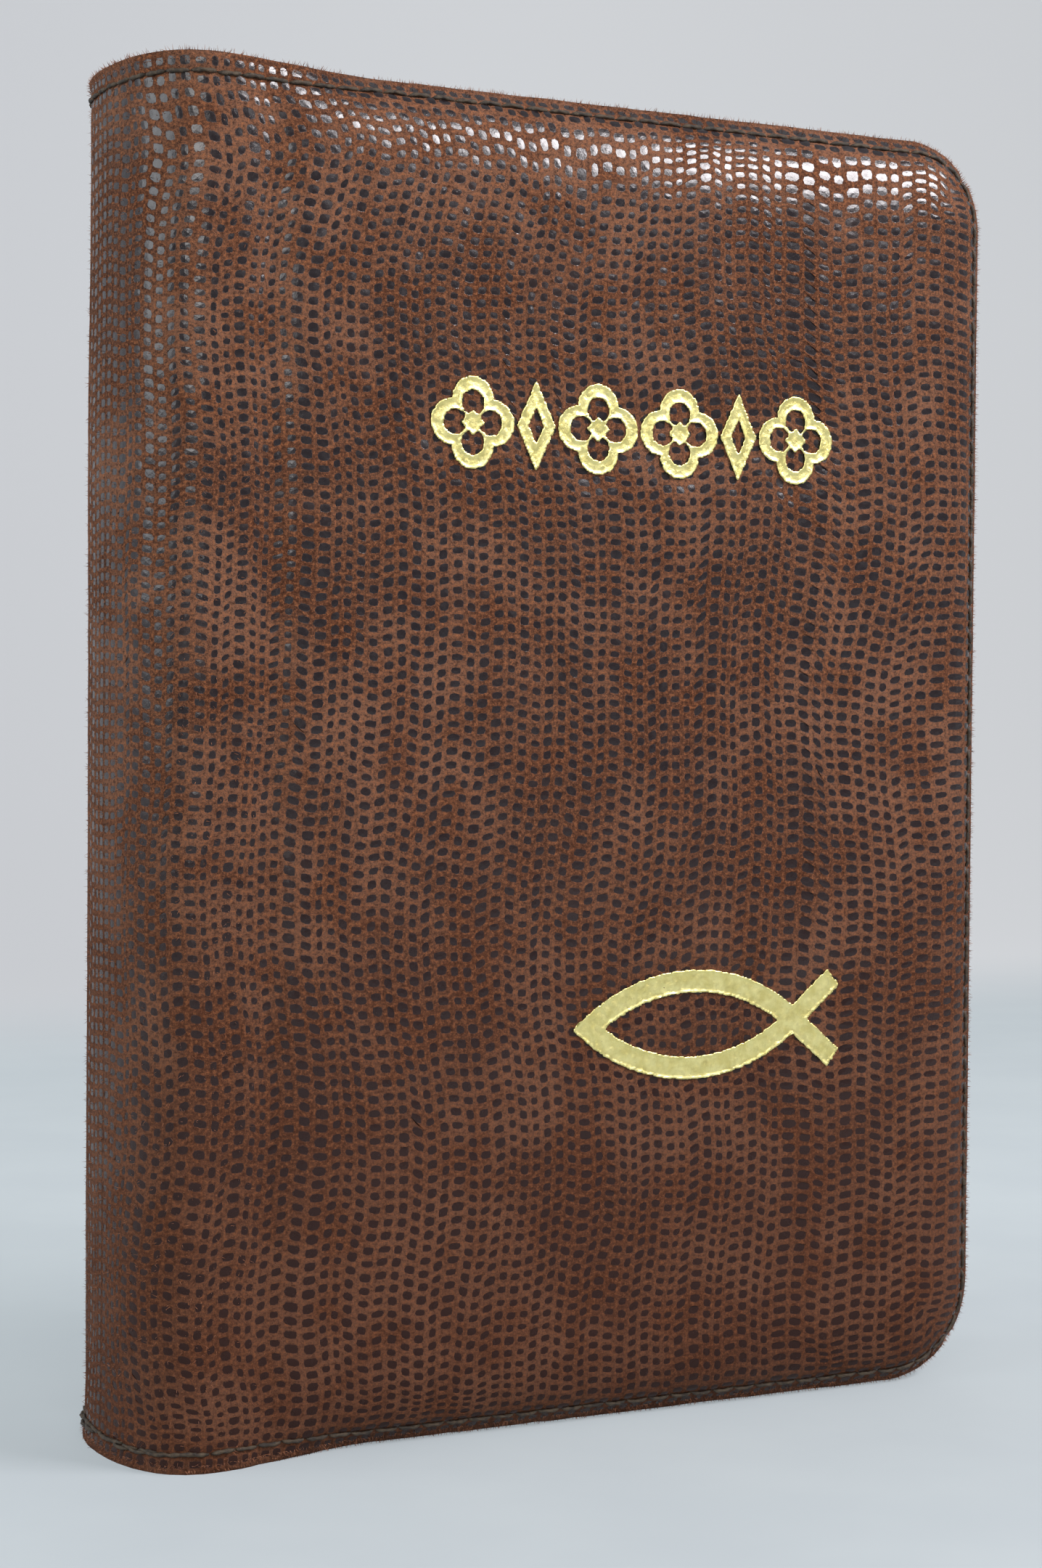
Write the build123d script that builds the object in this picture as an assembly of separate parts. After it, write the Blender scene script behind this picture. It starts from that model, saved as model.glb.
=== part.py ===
from build123d import *
import os

# A zip-around leather bible, closed and standing on its tail.
# Millimetres. +Z runs up the book, +X from the spine to the fore-edge, and the front cover
# faces -Y. The origin is the middle of the bottom of the leather case.

# ---- Driving dimensions -------------------------------------------------------------------

case_height = 186.0
case_width = 134.0
case_thickness = 34.0
head_corner_radius = 14.0       # of the covers, where the fore-edge meets the head
tail_corner_radius = 17.0       # where the fore-edge meets the tail
spine_corner_radius = 11.0      # of the rounded spine, seen from above
hinge_from_spine = 13.0         # distance of the joint line from the outside of the spine
hinge_gap = 0.4                 # parting between the spine and a cover

leather = 1.4
padding = 1.2
board = 1.2
lining = 0.3
hem_roll = 3.6                  # radius over which a cover turns back into its hem
hem_depth = 5.0                 # from a cover's face back to the raw edge of its hem
thread_width = 0.6
thread_depth = 0.35
thread_from_edge = 1.2
foil_recess = 0.35
foil = 0.12

page_width = 119.0
page_height = 170.0
page_corner_radius = 9.0
fore_edge_margin = 10.0         # from the pages to the outside of the case
bound_depth = 9.8               # the part of the block that the binding holds
back_corner_radius = 5.0        # of the block's rounded back
flyleaf = 0.3
flyleaf_gap = 0.3               # from the cover's lining to the flyleaf
bundle = 4.0                    # a bundle of leaves that turns together
leaf_gap = 0.1
flyleaf_start = 0.7             # from the fold of the leaves to the edge of the flyleaf
fold_run = 4.2                  # of the thinning at a bundle's fold
fold_thinning = 3.7
headband_radius = 0.9

tape = 0.6
tape_inset = 3.0                # the zip's depth below the outside of the hems
coil_height = 1.8
coil_width = 2.0
coil_gap = 1.0                  # between the two coils

# ---- Places worked out from the driving dimensions ----------------------------------------

spine_x = -case_width / 2
fore_edge_x = case_width / 2
hinge_x = spine_x + hinge_from_spine
cover_left = hinge_x + hinge_gap / 2
spine_right = hinge_x - hinge_gap / 2
front_y = -case_thickness / 2
hem_y = front_y + hem_depth

padding_y = front_y + leather
board_y = padding_y + padding
lining_y = board_y + board
lining_end_y = lining_y + lining
stiffening_inset = 5.5          # of the padding and board, inside the roll of the hem
joint_width = 6.0               # bare leather between the joint line and the board

page_right = fore_edge_x - fore_edge_margin
block_left = page_right - page_width
page_left = block_left + bound_depth
block_low = (case_height - page_height) / 2
block_high = block_low + page_height

flyleaf_y = lining_end_y + flyleaf_gap
first_y = flyleaf_y + flyleaf + leaf_gap
second_y = first_y + bundle + leaf_gap
ribbon_slot = 0.4
core_y = second_y + bundle + ribbon_slot
last_y = -(flyleaf_y + flyleaf + leaf_gap + bundle)     # inner face of the last leaves
block_half = -first_y

zip_inset = tape_inset + tape / 2                       # middle of the zip
coil_edge_y = -coil_gap / 2
tape_edge_y = coil_edge_y - coil_width
step_y = hem_y - tape                                   # where the tape steps in from the hem


# ---- Shared shapes ------------------------------------------------------------------------

def rounded_outline(left, right, low, high, head_radius, tail_radius):
    """A panel seen from the front: square at the spine, rounded at the fore-edge."""
    panel = Pos((left + right) / 2, (low + high) / 2) * Rectangle(right - left, high - low)
    head_corner = panel.vertices().sort_by(lambda v: v.X + v.Y)[-1]
    panel = fillet(head_corner, head_radius)
    tail_corner = panel.vertices().sort_by(lambda v: v.X - v.Y)[-1]
    return fillet(tail_corner, tail_radius)


def cover_outline(inset, left=cover_left):
    return rounded_outline(
        left,
        fore_edge_x - inset,
        inset,
        case_height - inset,
        head_corner_radius - inset,
        tail_corner_radius - inset,
    )


def slab(outline, y_low, y_high):
    """A flat solid between two depths of the book."""
    plane = Plane((0, y_high, 0), x_dir=(1, 0, 0), z_dir=(0, -1, 0))
    return extrude(plane * outline, amount=y_high - y_low)


def rolled_slab(inset, radius, y_low, y_high):
    """A cover-shaped slab whose face rolls back along head, fore-edge and tail."""
    body = slab(cover_outline(inset), y_low, y_high)
    face_edges = body.faces().sort_by(Axis.Y)[0].edges()
    rolled = [edge for edge in face_edges if edge.center().X > hinge_x + hinge_gap]
    return fillet(rolled, radius)


def hem_ring(outer_inset, inner_inset, y_low, y_high):
    """A band that follows the hem round head, fore-edge and tail."""
    return slab(cover_outline(outer_inset) - cover_outline(inner_inset), y_low, y_high)


def upright(profile, low, high):
    return Pos(0, 0, low) * extrude(profile, amount=high - low)


def spine_profile(inset):
    """The rounded spine seen from above, square where it meets the covers."""
    left = spine_x + inset
    depth = case_thickness - 2 * inset
    profile = Pos((left + spine_right) / 2, 0) * Rectangle(spine_right - left, depth)
    back_corners = profile.vertices().group_by(Axis.X)[0]
    return fillet(back_corners, spine_corner_radius - inset)


def to_back(solid):
    return mirror(solid, about=Plane.XZ)


def save(node, solid):
    export_step(solid, os.path.join("parts", node + ".step"))


# ---- Gold blocking on the front cover -----------------------------------------------------

title_left = -26.9
title_right = 37.7
title_middle = 139.8
ornament_height = 12.6
lozenge_width = 6.0
ornament_stroke = 1.9
lozenge_slit = 0.4              # of the lozenge's size

fish_nose_x = -2.6
fish_middle = 56.1
fish_length = 35.0              # nose to the crossing of the tail
fish_half_height = 6.2
tail_run = 6.6
fish_stroke = 3.2


def rosette(x):
    """A four-lobed ring with a small lozenge in its middle."""
    lobe_radius = ornament_height / 4
    outside = Sketch() + [loc * Circle(lobe_radius) for loc in PolarLocations(lobe_radius, 4)]
    hole_shift = ornament_stroke / 4
    hole_radius = lobe_radius - ornament_stroke + hole_shift
    hole_spread = lobe_radius - hole_shift
    hole = Sketch() + [loc * Circle(hole_radius) for loc in PolarLocations(hole_spread, 4)]
    heart = 1.6 * ornament_stroke
    middle = Rot(0, 0, 45) * Rectangle(heart, heart)
    return Pos(x, title_middle) * (outside - hole + middle)


def lozenge(x):
    """An upright lozenge with a slit."""
    half_width = lozenge_width / 2
    half_height = ornament_height / 2
    corners = [(half_width, 0), (0, half_height), (-half_width, 0), (0, -half_height)]
    outside = make_face(Polyline(*corners, close=True))
    return Pos(x, title_middle) * (outside - scale(outside, by=lozenge_slit))


def title():
    """Six ornaments in a row: four rosettes with two lozenges between them."""
    pattern = [rosette, lozenge, rosette, rosette, lozenge, rosette]
    widths = [lozenge_width if shape is lozenge else ornament_height for shape in pattern]
    gap = (title_right - title_left - sum(widths)) / (len(pattern) - 1)
    row = Sketch()
    left = title_left
    for shape, width in zip(pattern, widths):
        row += shape(left + width / 2)
        left += width + gap
    return row


def fish():
    """Two arcs that meet at the nose, cross at the tail and run out straight."""
    nose = (fish_nose_x, fish_middle)
    crossing = (fish_nose_x + fish_length, fish_middle)
    stroke = Sketch()
    for side in (1, -1):
        crown = (fish_nose_x + fish_length / 2, fish_middle + side * fish_half_height)
        body_line = ThreePointArc(nose, crown, crossing)
        heading = body_line % 1
        tail_tip = (
            crossing[0] + tail_run,
            crossing[1] + tail_run * heading.Y / heading.X,
        )
        stroke += trace(body_line, fish_stroke)
        stroke += trace(Line(crossing, tail_tip), fish_stroke)
    return stroke


# ---- Covers -------------------------------------------------------------------------------

def cover_leather():
    outside = rolled_slab(0, hem_roll, front_y, hem_y)
    hollow = rolled_slab(leather, hem_roll - leather, front_y + leather, hem_y)
    return outside - hollow - cover_thread()


def cover_thread():
    y = hem_y - thread_from_edge
    return hem_ring(0, thread_depth, y - thread_width, y)


def cover_padding():
    outline = cover_outline(stiffening_inset, cover_left + joint_width)
    return slab(outline, padding_y, board_y)


def cover_board():
    outline = cover_outline(stiffening_inset, cover_left + joint_width)
    return slab(outline, board_y, lining_y)


def cover_lining():
    return slab(cover_outline(tape_inset), lining_y, lining_end_y)


def cover_zip_tape():
    """Tape sewn inside the hem, stepping in so that the zip lies below the raw edges."""
    sewn = hem_ring(leather, leather + tape, front_y + hem_roll, hem_y)
    step = hem_ring(leather, tape_inset + tape, step_y, hem_y)
    run = hem_ring(tape_inset, tape_inset + tape, step_y, tape_edge_y)
    return sewn + step + run


def cover_zip_coil():
    half = coil_height / 2
    return hem_ring(zip_inset - half, zip_inset + half, tape_edge_y, coil_edge_y)


# ---- Spine --------------------------------------------------------------------------------

def spine_thread():
    band = spine_profile(0) - spine_profile(thread_depth)
    tail_run_low = hem_roll / 2
    head_run_low = case_height - tail_run_low - thread_width
    runs = [upright(band, low, low + thread_width) for low in (tail_run_low, head_run_low)]
    return Compound(children=runs)


def spine_leather():
    wall = upright(spine_profile(0) - spine_profile(leather), 0, case_height)
    for run in spine_thread().solids():
        wall -= run
    return wall


def spine_stiffener():
    """A card strip against the flat of the spine, between the two zip ends."""
    thickness = 1.0
    end_gap = 6.0
    width = case_thickness - 2 * spine_corner_radius
    strip = Pos(spine_x + leather + thickness / 2, 0) * Rectangle(thickness, width)
    return upright(strip, end_gap, case_height - end_gap)


# ---- Text block ---------------------------------------------------------------------------

def pages(left, y_low, y_high):
    """Leaves between two depths, with rounded corners at the fore-edge."""
    radius = page_corner_radius
    outline = rounded_outline(left, page_right, block_low, block_high, radius, radius)
    return slab(outline, y_low, y_high)


def flyleaf_front():
    return pages(page_left + flyleaf_start, flyleaf_y, flyleaf_y + flyleaf)


def turning_leaves(y_outer):
    """A bundle thinned on its inner side at the fold, so that it clears the next bundle as both turn."""
    left = page_left + leaf_gap
    y_inner = y_outer + bundle
    leaves = pages(left, y_outer, y_inner)
    corners = [(left, y_inner - fold_thinning), (left + fold_run, y_inner), (left, y_inner)]
    return leaves - upright(make_face(Polyline(*corners, close=True)), block_low, block_high)


def text_block():
    """The leaves that stay in the middle, and the bound back that holds every leaf."""
    back_middle = (block_left + page_left) / 2
    back = Pos(back_middle, 0) * Rectangle(page_left - block_left, 2 * block_half)
    back = fillet(back.vertices().group_by(Axis.X)[0], back_corner_radius)
    bound_back = upright(back, block_low, block_high)
    return bound_back + pages(back_middle, core_y, last_y - leaf_gap)


def spine_lining():
    """Mull glued to the flat of the block's back."""
    thickness = 0.4
    margin = 14.0
    width = 2 * (block_half - back_corner_radius)
    strip = Pos(block_left - thickness / 2, 0) * Rectangle(thickness, width)
    return upright(strip, block_low + margin, block_high - margin)


def headband(z):
    end_margin = 1.0
    from_back = 2.0
    length = 2 * (block_half - end_margin)
    return Pos(block_left + from_back, 0, z) * Rot(90, 0, 0) * Cylinder(headband_radius, length)


def ribbon_marker():
    """A ribbon that comes out of the binding, turns down between the leaves and ends below them."""
    width = 6.0
    thickness = 0.25
    start_drop = 8.0
    turn_drop = 40.0
    tail_length = 3.0
    fall_x = page_left + 16.0
    start = (page_left + width / 2, block_high - start_drop)
    turn = (fall_x, block_high - turn_drop)
    end = (fall_x, block_low - tail_length)
    outline = trace(Polyline(start, turn, end), width)
    middle_y = core_y - ribbon_slot / 2
    return slab(outline, middle_y - thickness / 2, middle_y + thickness / 2)


# ---- Zip ends and slider ------------------------------------------------------------------

slider_length = 9.0
slider_width = 8.0
slider_plate = 1.0
slider_reach = 2.2              # from the middle of the zip to the outside of a plate
slider_from_hinge = 1.2
slider_x = hinge_x - slider_from_hinge - slider_length / 2
head_zip_z = case_height - zip_inset
tail_zip_z = zip_inset
stop_length = 0.8
stop_gap = 0.3                  # from the spine's leather to the stop
stop_left = spine_x + leather + stop_gap
coil_left = stop_left + stop_length
bridge_height = 2.4
pull_pin_radius = 0.5
pin_rise = 0.8                  # from the slider's upper plate to the pin
pull_pin_z = head_zip_z + slider_reach + pin_rise
pull_eye_radius = 0.7
pull_length = 18.0
pull_width = 6.0
pull_thickness = 1.2
pull_window = 5.0               # clears the bridge as the pull turns
pull_window_width = 3.0


def zip_end_tape(z):
    """The fixed tape inside the spine, cut to the spine's inner shape and slit for the coils."""
    sheet = spine_profile(leather) - Rectangle(case_width, -2 * tape_edge_y)
    return upright(sheet, z - tape / 2, z + tape / 2)


def zip_end_coil(z):
    length = spine_right - coil_left
    middle_y = (tape_edge_y + coil_edge_y) / 2
    rod = Pos(coil_left + length / 2, middle_y, z) * Box(length, coil_width, coil_height)
    return [rod, to_back(rod)]


def zip_end_coils():
    return Compound(children=zip_end_coil(tail_zip_z) + zip_end_coil(head_zip_z))


def zip_stop(z):
    """A metal clamp across both coils' ends."""
    grip = 0.2
    corner_radius = 0.5
    stop = Box(stop_length, 2 * coil_width, coil_height + 2 * grip)
    stop = fillet(stop.edges().filter_by(Axis.X), corner_radius)
    return Pos(stop_left + stop_length / 2, 0, z) * stop


def zip_slider():
    """Two plates with turned-in lips, the wedge that parts the coils, and a bridge for the pull."""
    corner_radius = 2.0
    lip = 0.7
    clearance = 0.2
    plate_middle = slider_reach - slider_plate / 2
    outline = fillet(Rectangle(slider_length, slider_width).vertices(), corner_radius)
    slider = Part()
    for side in (1, -1):
        slider += Pos(0, 0, side * plate_middle - slider_plate / 2) * extrude(outline, slider_plate)
    lip_length = slider_length - 2 * corner_radius
    lip_height = slider_reach - tape / 2 - clearance
    for side_y in (1, -1):
        for side_z in (1, -1):
            lip_y = side_y * (slider_width - lip) / 2
            lip_z = side_z * (slider_reach - lip_height / 2)
            slider += Pos(0, lip_y, lip_z) * Box(lip_length, lip, lip_height)
    wedge_length = 2.0
    wedge_inset = 0.4
    wedge_height = 2 * slider_reach - slider_plate / 2
    wedge_x = (wedge_length - slider_length) / 2 + wedge_inset
    slider += Pos(wedge_x, 0, 0) * Box(wedge_length, coil_gap - clearance, wedge_height)
    return Pos(slider_x, 0, head_zip_z) * (slider + slider_bridge())


def slider_bridge():
    length = 7.0
    width = 2.0
    wall = 1.0
    shoulder_radius = 1.6
    arch = Rectangle(length, bridge_height * 2)
    arch = fillet(arch.vertices(), shoulder_radius) - Rectangle(length - 2 * wall, 2 * (bridge_height - wall))
    upper_half = Pos(0, bridge_height / 2) * Rectangle(length, bridge_height)
    arch = slab(arch & upper_half, -width / 2, width / 2)
    return Pos(0, 0, slider_reach) * arch


def zip_pull():
    """A flat tab with a window over the bridge and a pin that passes under it."""
    blade = Pos(pull_length / 2, 0) * Rectangle(pull_length, pull_width)
    tip_radius = 2.4
    hole_radius = 1.2
    hole_from_tip = 3.2
    open_end = 2.0              # the window runs out past the end of the blade
    blade = fillet(blade.vertices().group_by(Axis.X)[-1], tip_radius)
    window_length = pull_window + open_end
    window = Pos((pull_window - open_end) / 2, 0) * Rectangle(window_length, pull_window_width)
    hole = Pos(pull_length - hole_from_tip, 0) * Circle(hole_radius)
    tab = extrude(blade - window - hole, pull_thickness)
    tab = Pos(0, 0, -pull_thickness / 2) * tab
    pin_turn = Rot(90, 0, 0)
    eye_end = pin_turn * Cylinder(pull_eye_radius, pull_width)
    eye_end -= Box(4 * pull_eye_radius, pull_window_width, 4 * pull_eye_radius)
    pin = pin_turn * Cylinder(pull_pin_radius, pull_window_width)
    return Pos(slider_x, 0, pull_pin_z) * (tab + eye_end + pin)


# ---- Build every piece --------------------------------------------------------------------

os.makedirs("parts", exist_ok=True)

recess_end = front_y + foil_recess
title_sketch = title()
fish_sketch = fish()
plain_leather = cover_leather()
front_leather = plain_leather
for sketch in (title_sketch, fish_sketch):
    front_leather -= slab(sketch, front_y, recess_end)

save("leather_front", front_leather)
save("title_foil", slab(title_sketch, recess_end - foil, recess_end))
save("fish_foil", slab(fish_sketch, recess_end - foil, recess_end))
save("leather_back", to_back(plain_leather))

cover_pieces = {
    "stitching": cover_thread,
    "padding": cover_padding,
    "board": cover_board,
    "lining": cover_lining,
    "zip_tape": cover_zip_tape,
    "zip_coil": cover_zip_coil,
}
for name, make in cover_pieces.items():
    piece = make()
    save(name + "_front", piece)
    save(name + "_back", to_back(piece))

save("leather_spine", spine_leather())
save("stitching_spine", spine_thread())
save("spine_stiffener", spine_stiffener())

save("text_block", text_block())
save("spine_lining", spine_lining())
save("headband_head", headband(block_high + headband_radius))
save("headband_tail", headband(block_low - headband_radius))
save("ribbon_marker", ribbon_marker())
save("flyleaf_front", flyleaf_front())
save("leaves_first", turning_leaves(first_y))
save("leaves_second", turning_leaves(second_y))
save("leaves_last", to_back(turning_leaves(first_y)))
save("flyleaf_back", to_back(flyleaf_front()))

save("zip_end_head", zip_end_tape(head_zip_z))
save("zip_end_tail", zip_end_tape(tail_zip_z))
save("zip_end_coils", zip_end_coils())
save("zip_stop_head", zip_stop(head_zip_z))
save("zip_stop_tail", zip_stop(tail_zip_z))
save("zip_slider", zip_slider())
save("zip_pull", zip_pull())
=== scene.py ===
import math

import bpy
import numpy as np
from mathutils import Matrix, Vector


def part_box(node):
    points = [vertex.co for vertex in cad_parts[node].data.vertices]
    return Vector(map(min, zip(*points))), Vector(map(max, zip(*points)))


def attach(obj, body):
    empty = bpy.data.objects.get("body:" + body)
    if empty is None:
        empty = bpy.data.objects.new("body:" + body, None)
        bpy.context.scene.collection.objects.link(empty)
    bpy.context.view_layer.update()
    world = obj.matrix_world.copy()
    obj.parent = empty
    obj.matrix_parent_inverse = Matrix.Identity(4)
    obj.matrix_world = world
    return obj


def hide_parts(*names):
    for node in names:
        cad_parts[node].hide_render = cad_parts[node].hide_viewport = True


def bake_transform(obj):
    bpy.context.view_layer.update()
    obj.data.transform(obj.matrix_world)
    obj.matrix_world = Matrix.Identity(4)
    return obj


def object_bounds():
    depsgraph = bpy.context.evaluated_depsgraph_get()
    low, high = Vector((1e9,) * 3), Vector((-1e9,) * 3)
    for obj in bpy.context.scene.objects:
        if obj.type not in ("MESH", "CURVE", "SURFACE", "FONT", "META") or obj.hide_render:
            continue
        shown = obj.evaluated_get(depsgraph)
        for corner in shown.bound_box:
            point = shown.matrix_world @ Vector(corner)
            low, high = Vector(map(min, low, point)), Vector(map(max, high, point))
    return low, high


# A zip-around leather bible, closed and standing on its tail. Lengths are in millimetres, and
# turn into metres where meshes are made. Each cover's leather is laid out flat, as a sheet with
# "s" running from the middle of the spine to the fore-edge and "t" running up, and is then
# wrapped round the book.

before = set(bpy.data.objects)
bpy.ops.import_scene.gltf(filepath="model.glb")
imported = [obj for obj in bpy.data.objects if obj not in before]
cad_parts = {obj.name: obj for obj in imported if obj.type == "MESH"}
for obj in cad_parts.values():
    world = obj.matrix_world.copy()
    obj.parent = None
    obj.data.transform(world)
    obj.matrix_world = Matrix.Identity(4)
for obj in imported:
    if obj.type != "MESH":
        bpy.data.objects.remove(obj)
cad_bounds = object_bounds()

MM = 0.001


def box_mm(node):
    low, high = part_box(node)
    return np.array(low) / MM, np.array(high) / MM


# ---- Dimensions read from the frame -------------------------------------------------------

front_low, front_high = box_mm("leather_front")
spine_low, spine_high = box_mm("leather_spine")
spine_x = spine_low[0]
fore_edge_x = front_high[0]
half_thickness = -front_low[1]
case_height = front_high[2]
hinge_x = (spine_high[0] + front_low[0]) / 2
title_low, title_high = box_mm("title_foil")
fish_low, fish_high = box_mm("fish_foil")

# ---- Dimensions of the leather ------------------------------------------------------------

leather = 1.3
spine_bulge = 9.5               # from the ridge back to the middle of the spine
spine_squareness = 2.4
ridge_x = spine_x + spine_bulge
spine_flare_tail = 0.7          # how far the spine's ends stand out
spine_flare_head = 0.3
flare_reach_tail = 4.5
flare_reach_head = 4.0
spine_sway = 0.2
groove_depth = 0.9              # of the pressed joint groove beside the spine
groove_from_hinge = 4.5
groove_width = 2.6
crown_height = 0.7              # of the cover's swell over its padding
crown_waves = 0.22
crown_ripples = 0.07
head_radius = 12.5
tail_radius = 14.5
roll_reach = 17.0               # how far in from the raw edge a cover starts to turn back
hem_width = 2.4                 # from the raw edge to the crease under the stitches
crease_width = 1.8
hem_lean = math.radians(43)
pillow_lean = math.radians(19)
seam_lean = math.radians(16)    # extra, where the cover is drawn down to the seam
seam_reach = 3.0
head_lift = 0.2                 # how far the rolled head edge sits below the spine's
tail_lift = 0.3
stitch_margin = 2.6
channel_depth = 0.3
stitch_length = 3.6
thread_radius = 0.26
stitch_lift = 0.08
back_stitches = 5               # sewn back over the start of the seam
back_stitch_lift = 0.42
cell_width = 2.1
cell_height = 1.8
nap_gap = 0.3
fibre_radius = 0.05
nap_height = 0.07               # of the suede above the leather's face
scale_depth = 0.045             # of the scales below it
scale_squareness = 2.8


def smooth(u):
    u = np.clip(u, 0, 1)
    return u * u * (3 - 2 * u)


def ripple(a, b, wavelength, seed):
    """Smooth random waves over a plane, mostly between -2 and 2."""
    waves = np.random.default_rng(seed)
    count = 7
    total = 0
    for _ in range(count):
        angle, phase = waves.uniform(0, 2 * math.pi, 2)
        turn_rate = 2 * math.pi / (wavelength * waves.uniform(0.7, 1.4))
        total = total + np.sin(turn_rate * (a * math.cos(angle) + b * math.sin(angle)) + phase)
    return total / math.sqrt(count)


def travel(a, b):
    """How far along a line of points (a, b) each one is."""
    return np.concatenate([[0], np.cumsum(np.hypot(np.diff(a), np.diff(b)))])


def xyz(x, y, z):
    """Points from their coordinates, which may be arrays or single numbers."""
    return np.stack(np.broadcast_arrays(x, y, z), -1)


# ---- The wrapped sheet --------------------------------------------------------------------

spine_turn = np.linspace(0, math.pi / 2, 241)
spine_curve_x = ridge_x - spine_bulge * np.cos(spine_turn) ** (2 / spine_squareness)
spine_curve_y = -half_thickness * np.sin(spine_turn) ** (2 / spine_squareness)
spine_arc = travel(spine_curve_x, spine_curve_y)
spine_run = spine_arc[-1]

edge_table = np.linspace(-3, roll_reach, 201)
edge_step = edge_table[1] - edge_table[0]
crease = smooth((edge_table - hem_width) / crease_width)
cover_lean = pillow_lean * (1 - smooth((edge_table - hem_width) / (roll_reach - hem_width)))
cover_lean = cover_lean + seam_lean * np.exp(-((edge_table - hem_width) / seam_reach) ** 2)
lean = hem_lean * (1 - crease) + cover_lean * crease
drop_table = np.cumsum(np.sin(lean)[::-1])[::-1] * edge_step
pull_table = np.cumsum((1 - np.cos(lean))[::-1])[::-1] * edge_step
edge_pull = np.interp(0, edge_table, pull_table)

sheet_right = fore_edge_x + edge_pull
sheet_length = spine_run + sheet_right - ridge_x


def sheet_x(s):
    return ridge_x + s - spine_run


def sheet_s(x):
    return spine_run + x - ridge_x


def roll_share(x):
    """0 on the spine, where the leather stands straight, and 1 where the edges turn back."""
    start, run = -4, 26
    return smooth((x - hinge_x - start) / run)


def head_line(x):
    share = roll_share(x)
    return case_height - head_lift * share + edge_pull * share ** 2


def tail_line(x):
    share = roll_share(x)
    return tail_lift * share - edge_pull * share ** 2


head_corner = head_radius + edge_pull           # radii of the flat sheet's corners
tail_corner = tail_radius + edge_pull
head_edge = head_line(sheet_right)
tail_edge = tail_line(sheet_right)
rise_low = tail_edge + tail_corner              # the straight part of the fore-edge
rise_high = head_edge - head_corner
corners = (head_corner, head_edge, 1), (tail_corner, tail_edge, -1)


def from_edge(x, t):
    """Distance in from the sheet's raw edge, and the direction out to it."""
    gaps = np.stack([sheet_right - x, head_line(x) - t, t - tail_line(x)])
    nearest = gaps.argmin(0)
    gap = gaps.min(0)
    out_x = np.where(nearest == 0, 1.0, 0.0)
    out_t = np.where(nearest == 1, 1.0, np.where(nearest == 2, -1.0, 0.0))
    for radius, edge, sign in corners:
        centre_x = sheet_right - radius
        centre_t = edge - sign * radius
        dx, dt = x - centre_x, (t - centre_t) * sign
        inside = (dx > 0) & (dt > 0)
        reach = np.maximum(np.hypot(dx, dt), 1e-6)
        gap = np.where(inside, radius - reach, gap)
        out_x = np.where(inside, dx / reach, out_x)
        out_t = np.where(inside, sign * dt / reach, out_t)
    return gap, out_x, out_t


def wrap(s, t):
    """Place on the front half of the case of a point of the flat sheet."""
    x = sheet_x(s)
    share = roll_share(x)
    gap, out_x, out_t = from_edge(x, t)
    pull = share ** 2 * np.interp(gap, edge_table, pull_table)
    drop = share * np.interp(gap, edge_table, drop_table)
    on_spine = s < spine_run
    up = np.clip(t / case_height, 0, 1)
    across = np.clip((x - hinge_x) / (fore_edge_x - hinge_x), 0, 1)
    panel = np.sin(math.pi * across) ** 0.6 * np.sin(math.pi * up) ** 0.5
    swell = crown_height + crown_waves * ripple(x, t, 60, 3) + crown_ripples * ripple(x, t, 21, 4)
    crown = swell * panel
    groove_fade = 0.3 + 0.7 * np.sin(math.pi * up) ** 0.4
    from_groove = (x - hinge_x - groove_from_hinge) / groove_width
    groove = groove_depth * np.exp(-from_groove ** 2) * groove_fade
    flare = spine_flare_tail * np.exp(-t / flare_reach_tail)
    flare = flare + spine_flare_head * np.exp((t - case_height) / flare_reach_head)
    sway = spine_sway * ripple(s, t, 70, 5)
    wrapped_x = np.where(on_spine, np.interp(s, spine_arc, spine_curve_x), x - out_x * pull)
    wrapped_y = np.where(on_spine, np.interp(s, spine_arc, spine_curve_y), drop - half_thickness)
    back_share = np.clip((ridge_x - wrapped_x) / spine_bulge, 0, 1)
    wrapped_x = wrapped_x - (flare + sway) * back_share
    wrapped_y = wrapped_y + groove - crown
    return xyz(wrapped_x, wrapped_y, t - out_t * pull)


def wrap_out(s, t, lift=0.0):
    """A point of the sheet, lifted off it along its outward normal."""
    step = 0.15
    point = wrap(s, t)
    along = wrap(s + step, t) - wrap(np.maximum(s - step, 0), t)
    up = wrap(s, t + step) - wrap(s, t - step)
    normal = np.cross(along, up)
    on_middle = np.asarray(s) < 1e-6
    normal[..., 1] = np.where(on_middle, 0, normal[..., 1])
    normal /= np.linalg.norm(normal, axis=-1, keepdims=True)
    return point + normal * np.asarray(lift)[..., None]


def round_corners(x, t, inset=0.0):
    """Squeezes the square corners of a grid into the sheet's rounded ones, ring by ring."""
    right = sheet_right - inset
    for radius, edge, sign in corners:
        radius -= inset
        edge -= sign * inset
        a = (x - right + radius) / radius
        b = ((t - edge) * sign + radius) / radius
        inside = (a > 0) & (b > 0)
        reach = np.maximum(np.maximum(a, b), 1e-9)
        share = np.minimum(a, b) / reach
        angle = np.where(a >= b, share, 2 - share) * math.pi / 4
        x = np.where(inside, right - radius + radius * reach * np.cos(angle), x)
        t = np.where(inside, edge + sign * (radius * reach * np.sin(angle) - radius), t)
    return x, t


# ---- Mesh helpers -------------------------------------------------------------------------

def add_object(name, data):
    thing = bpy.data.objects.new(name, data)
    bpy.context.scene.collection.objects.link(thing)
    return thing


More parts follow.
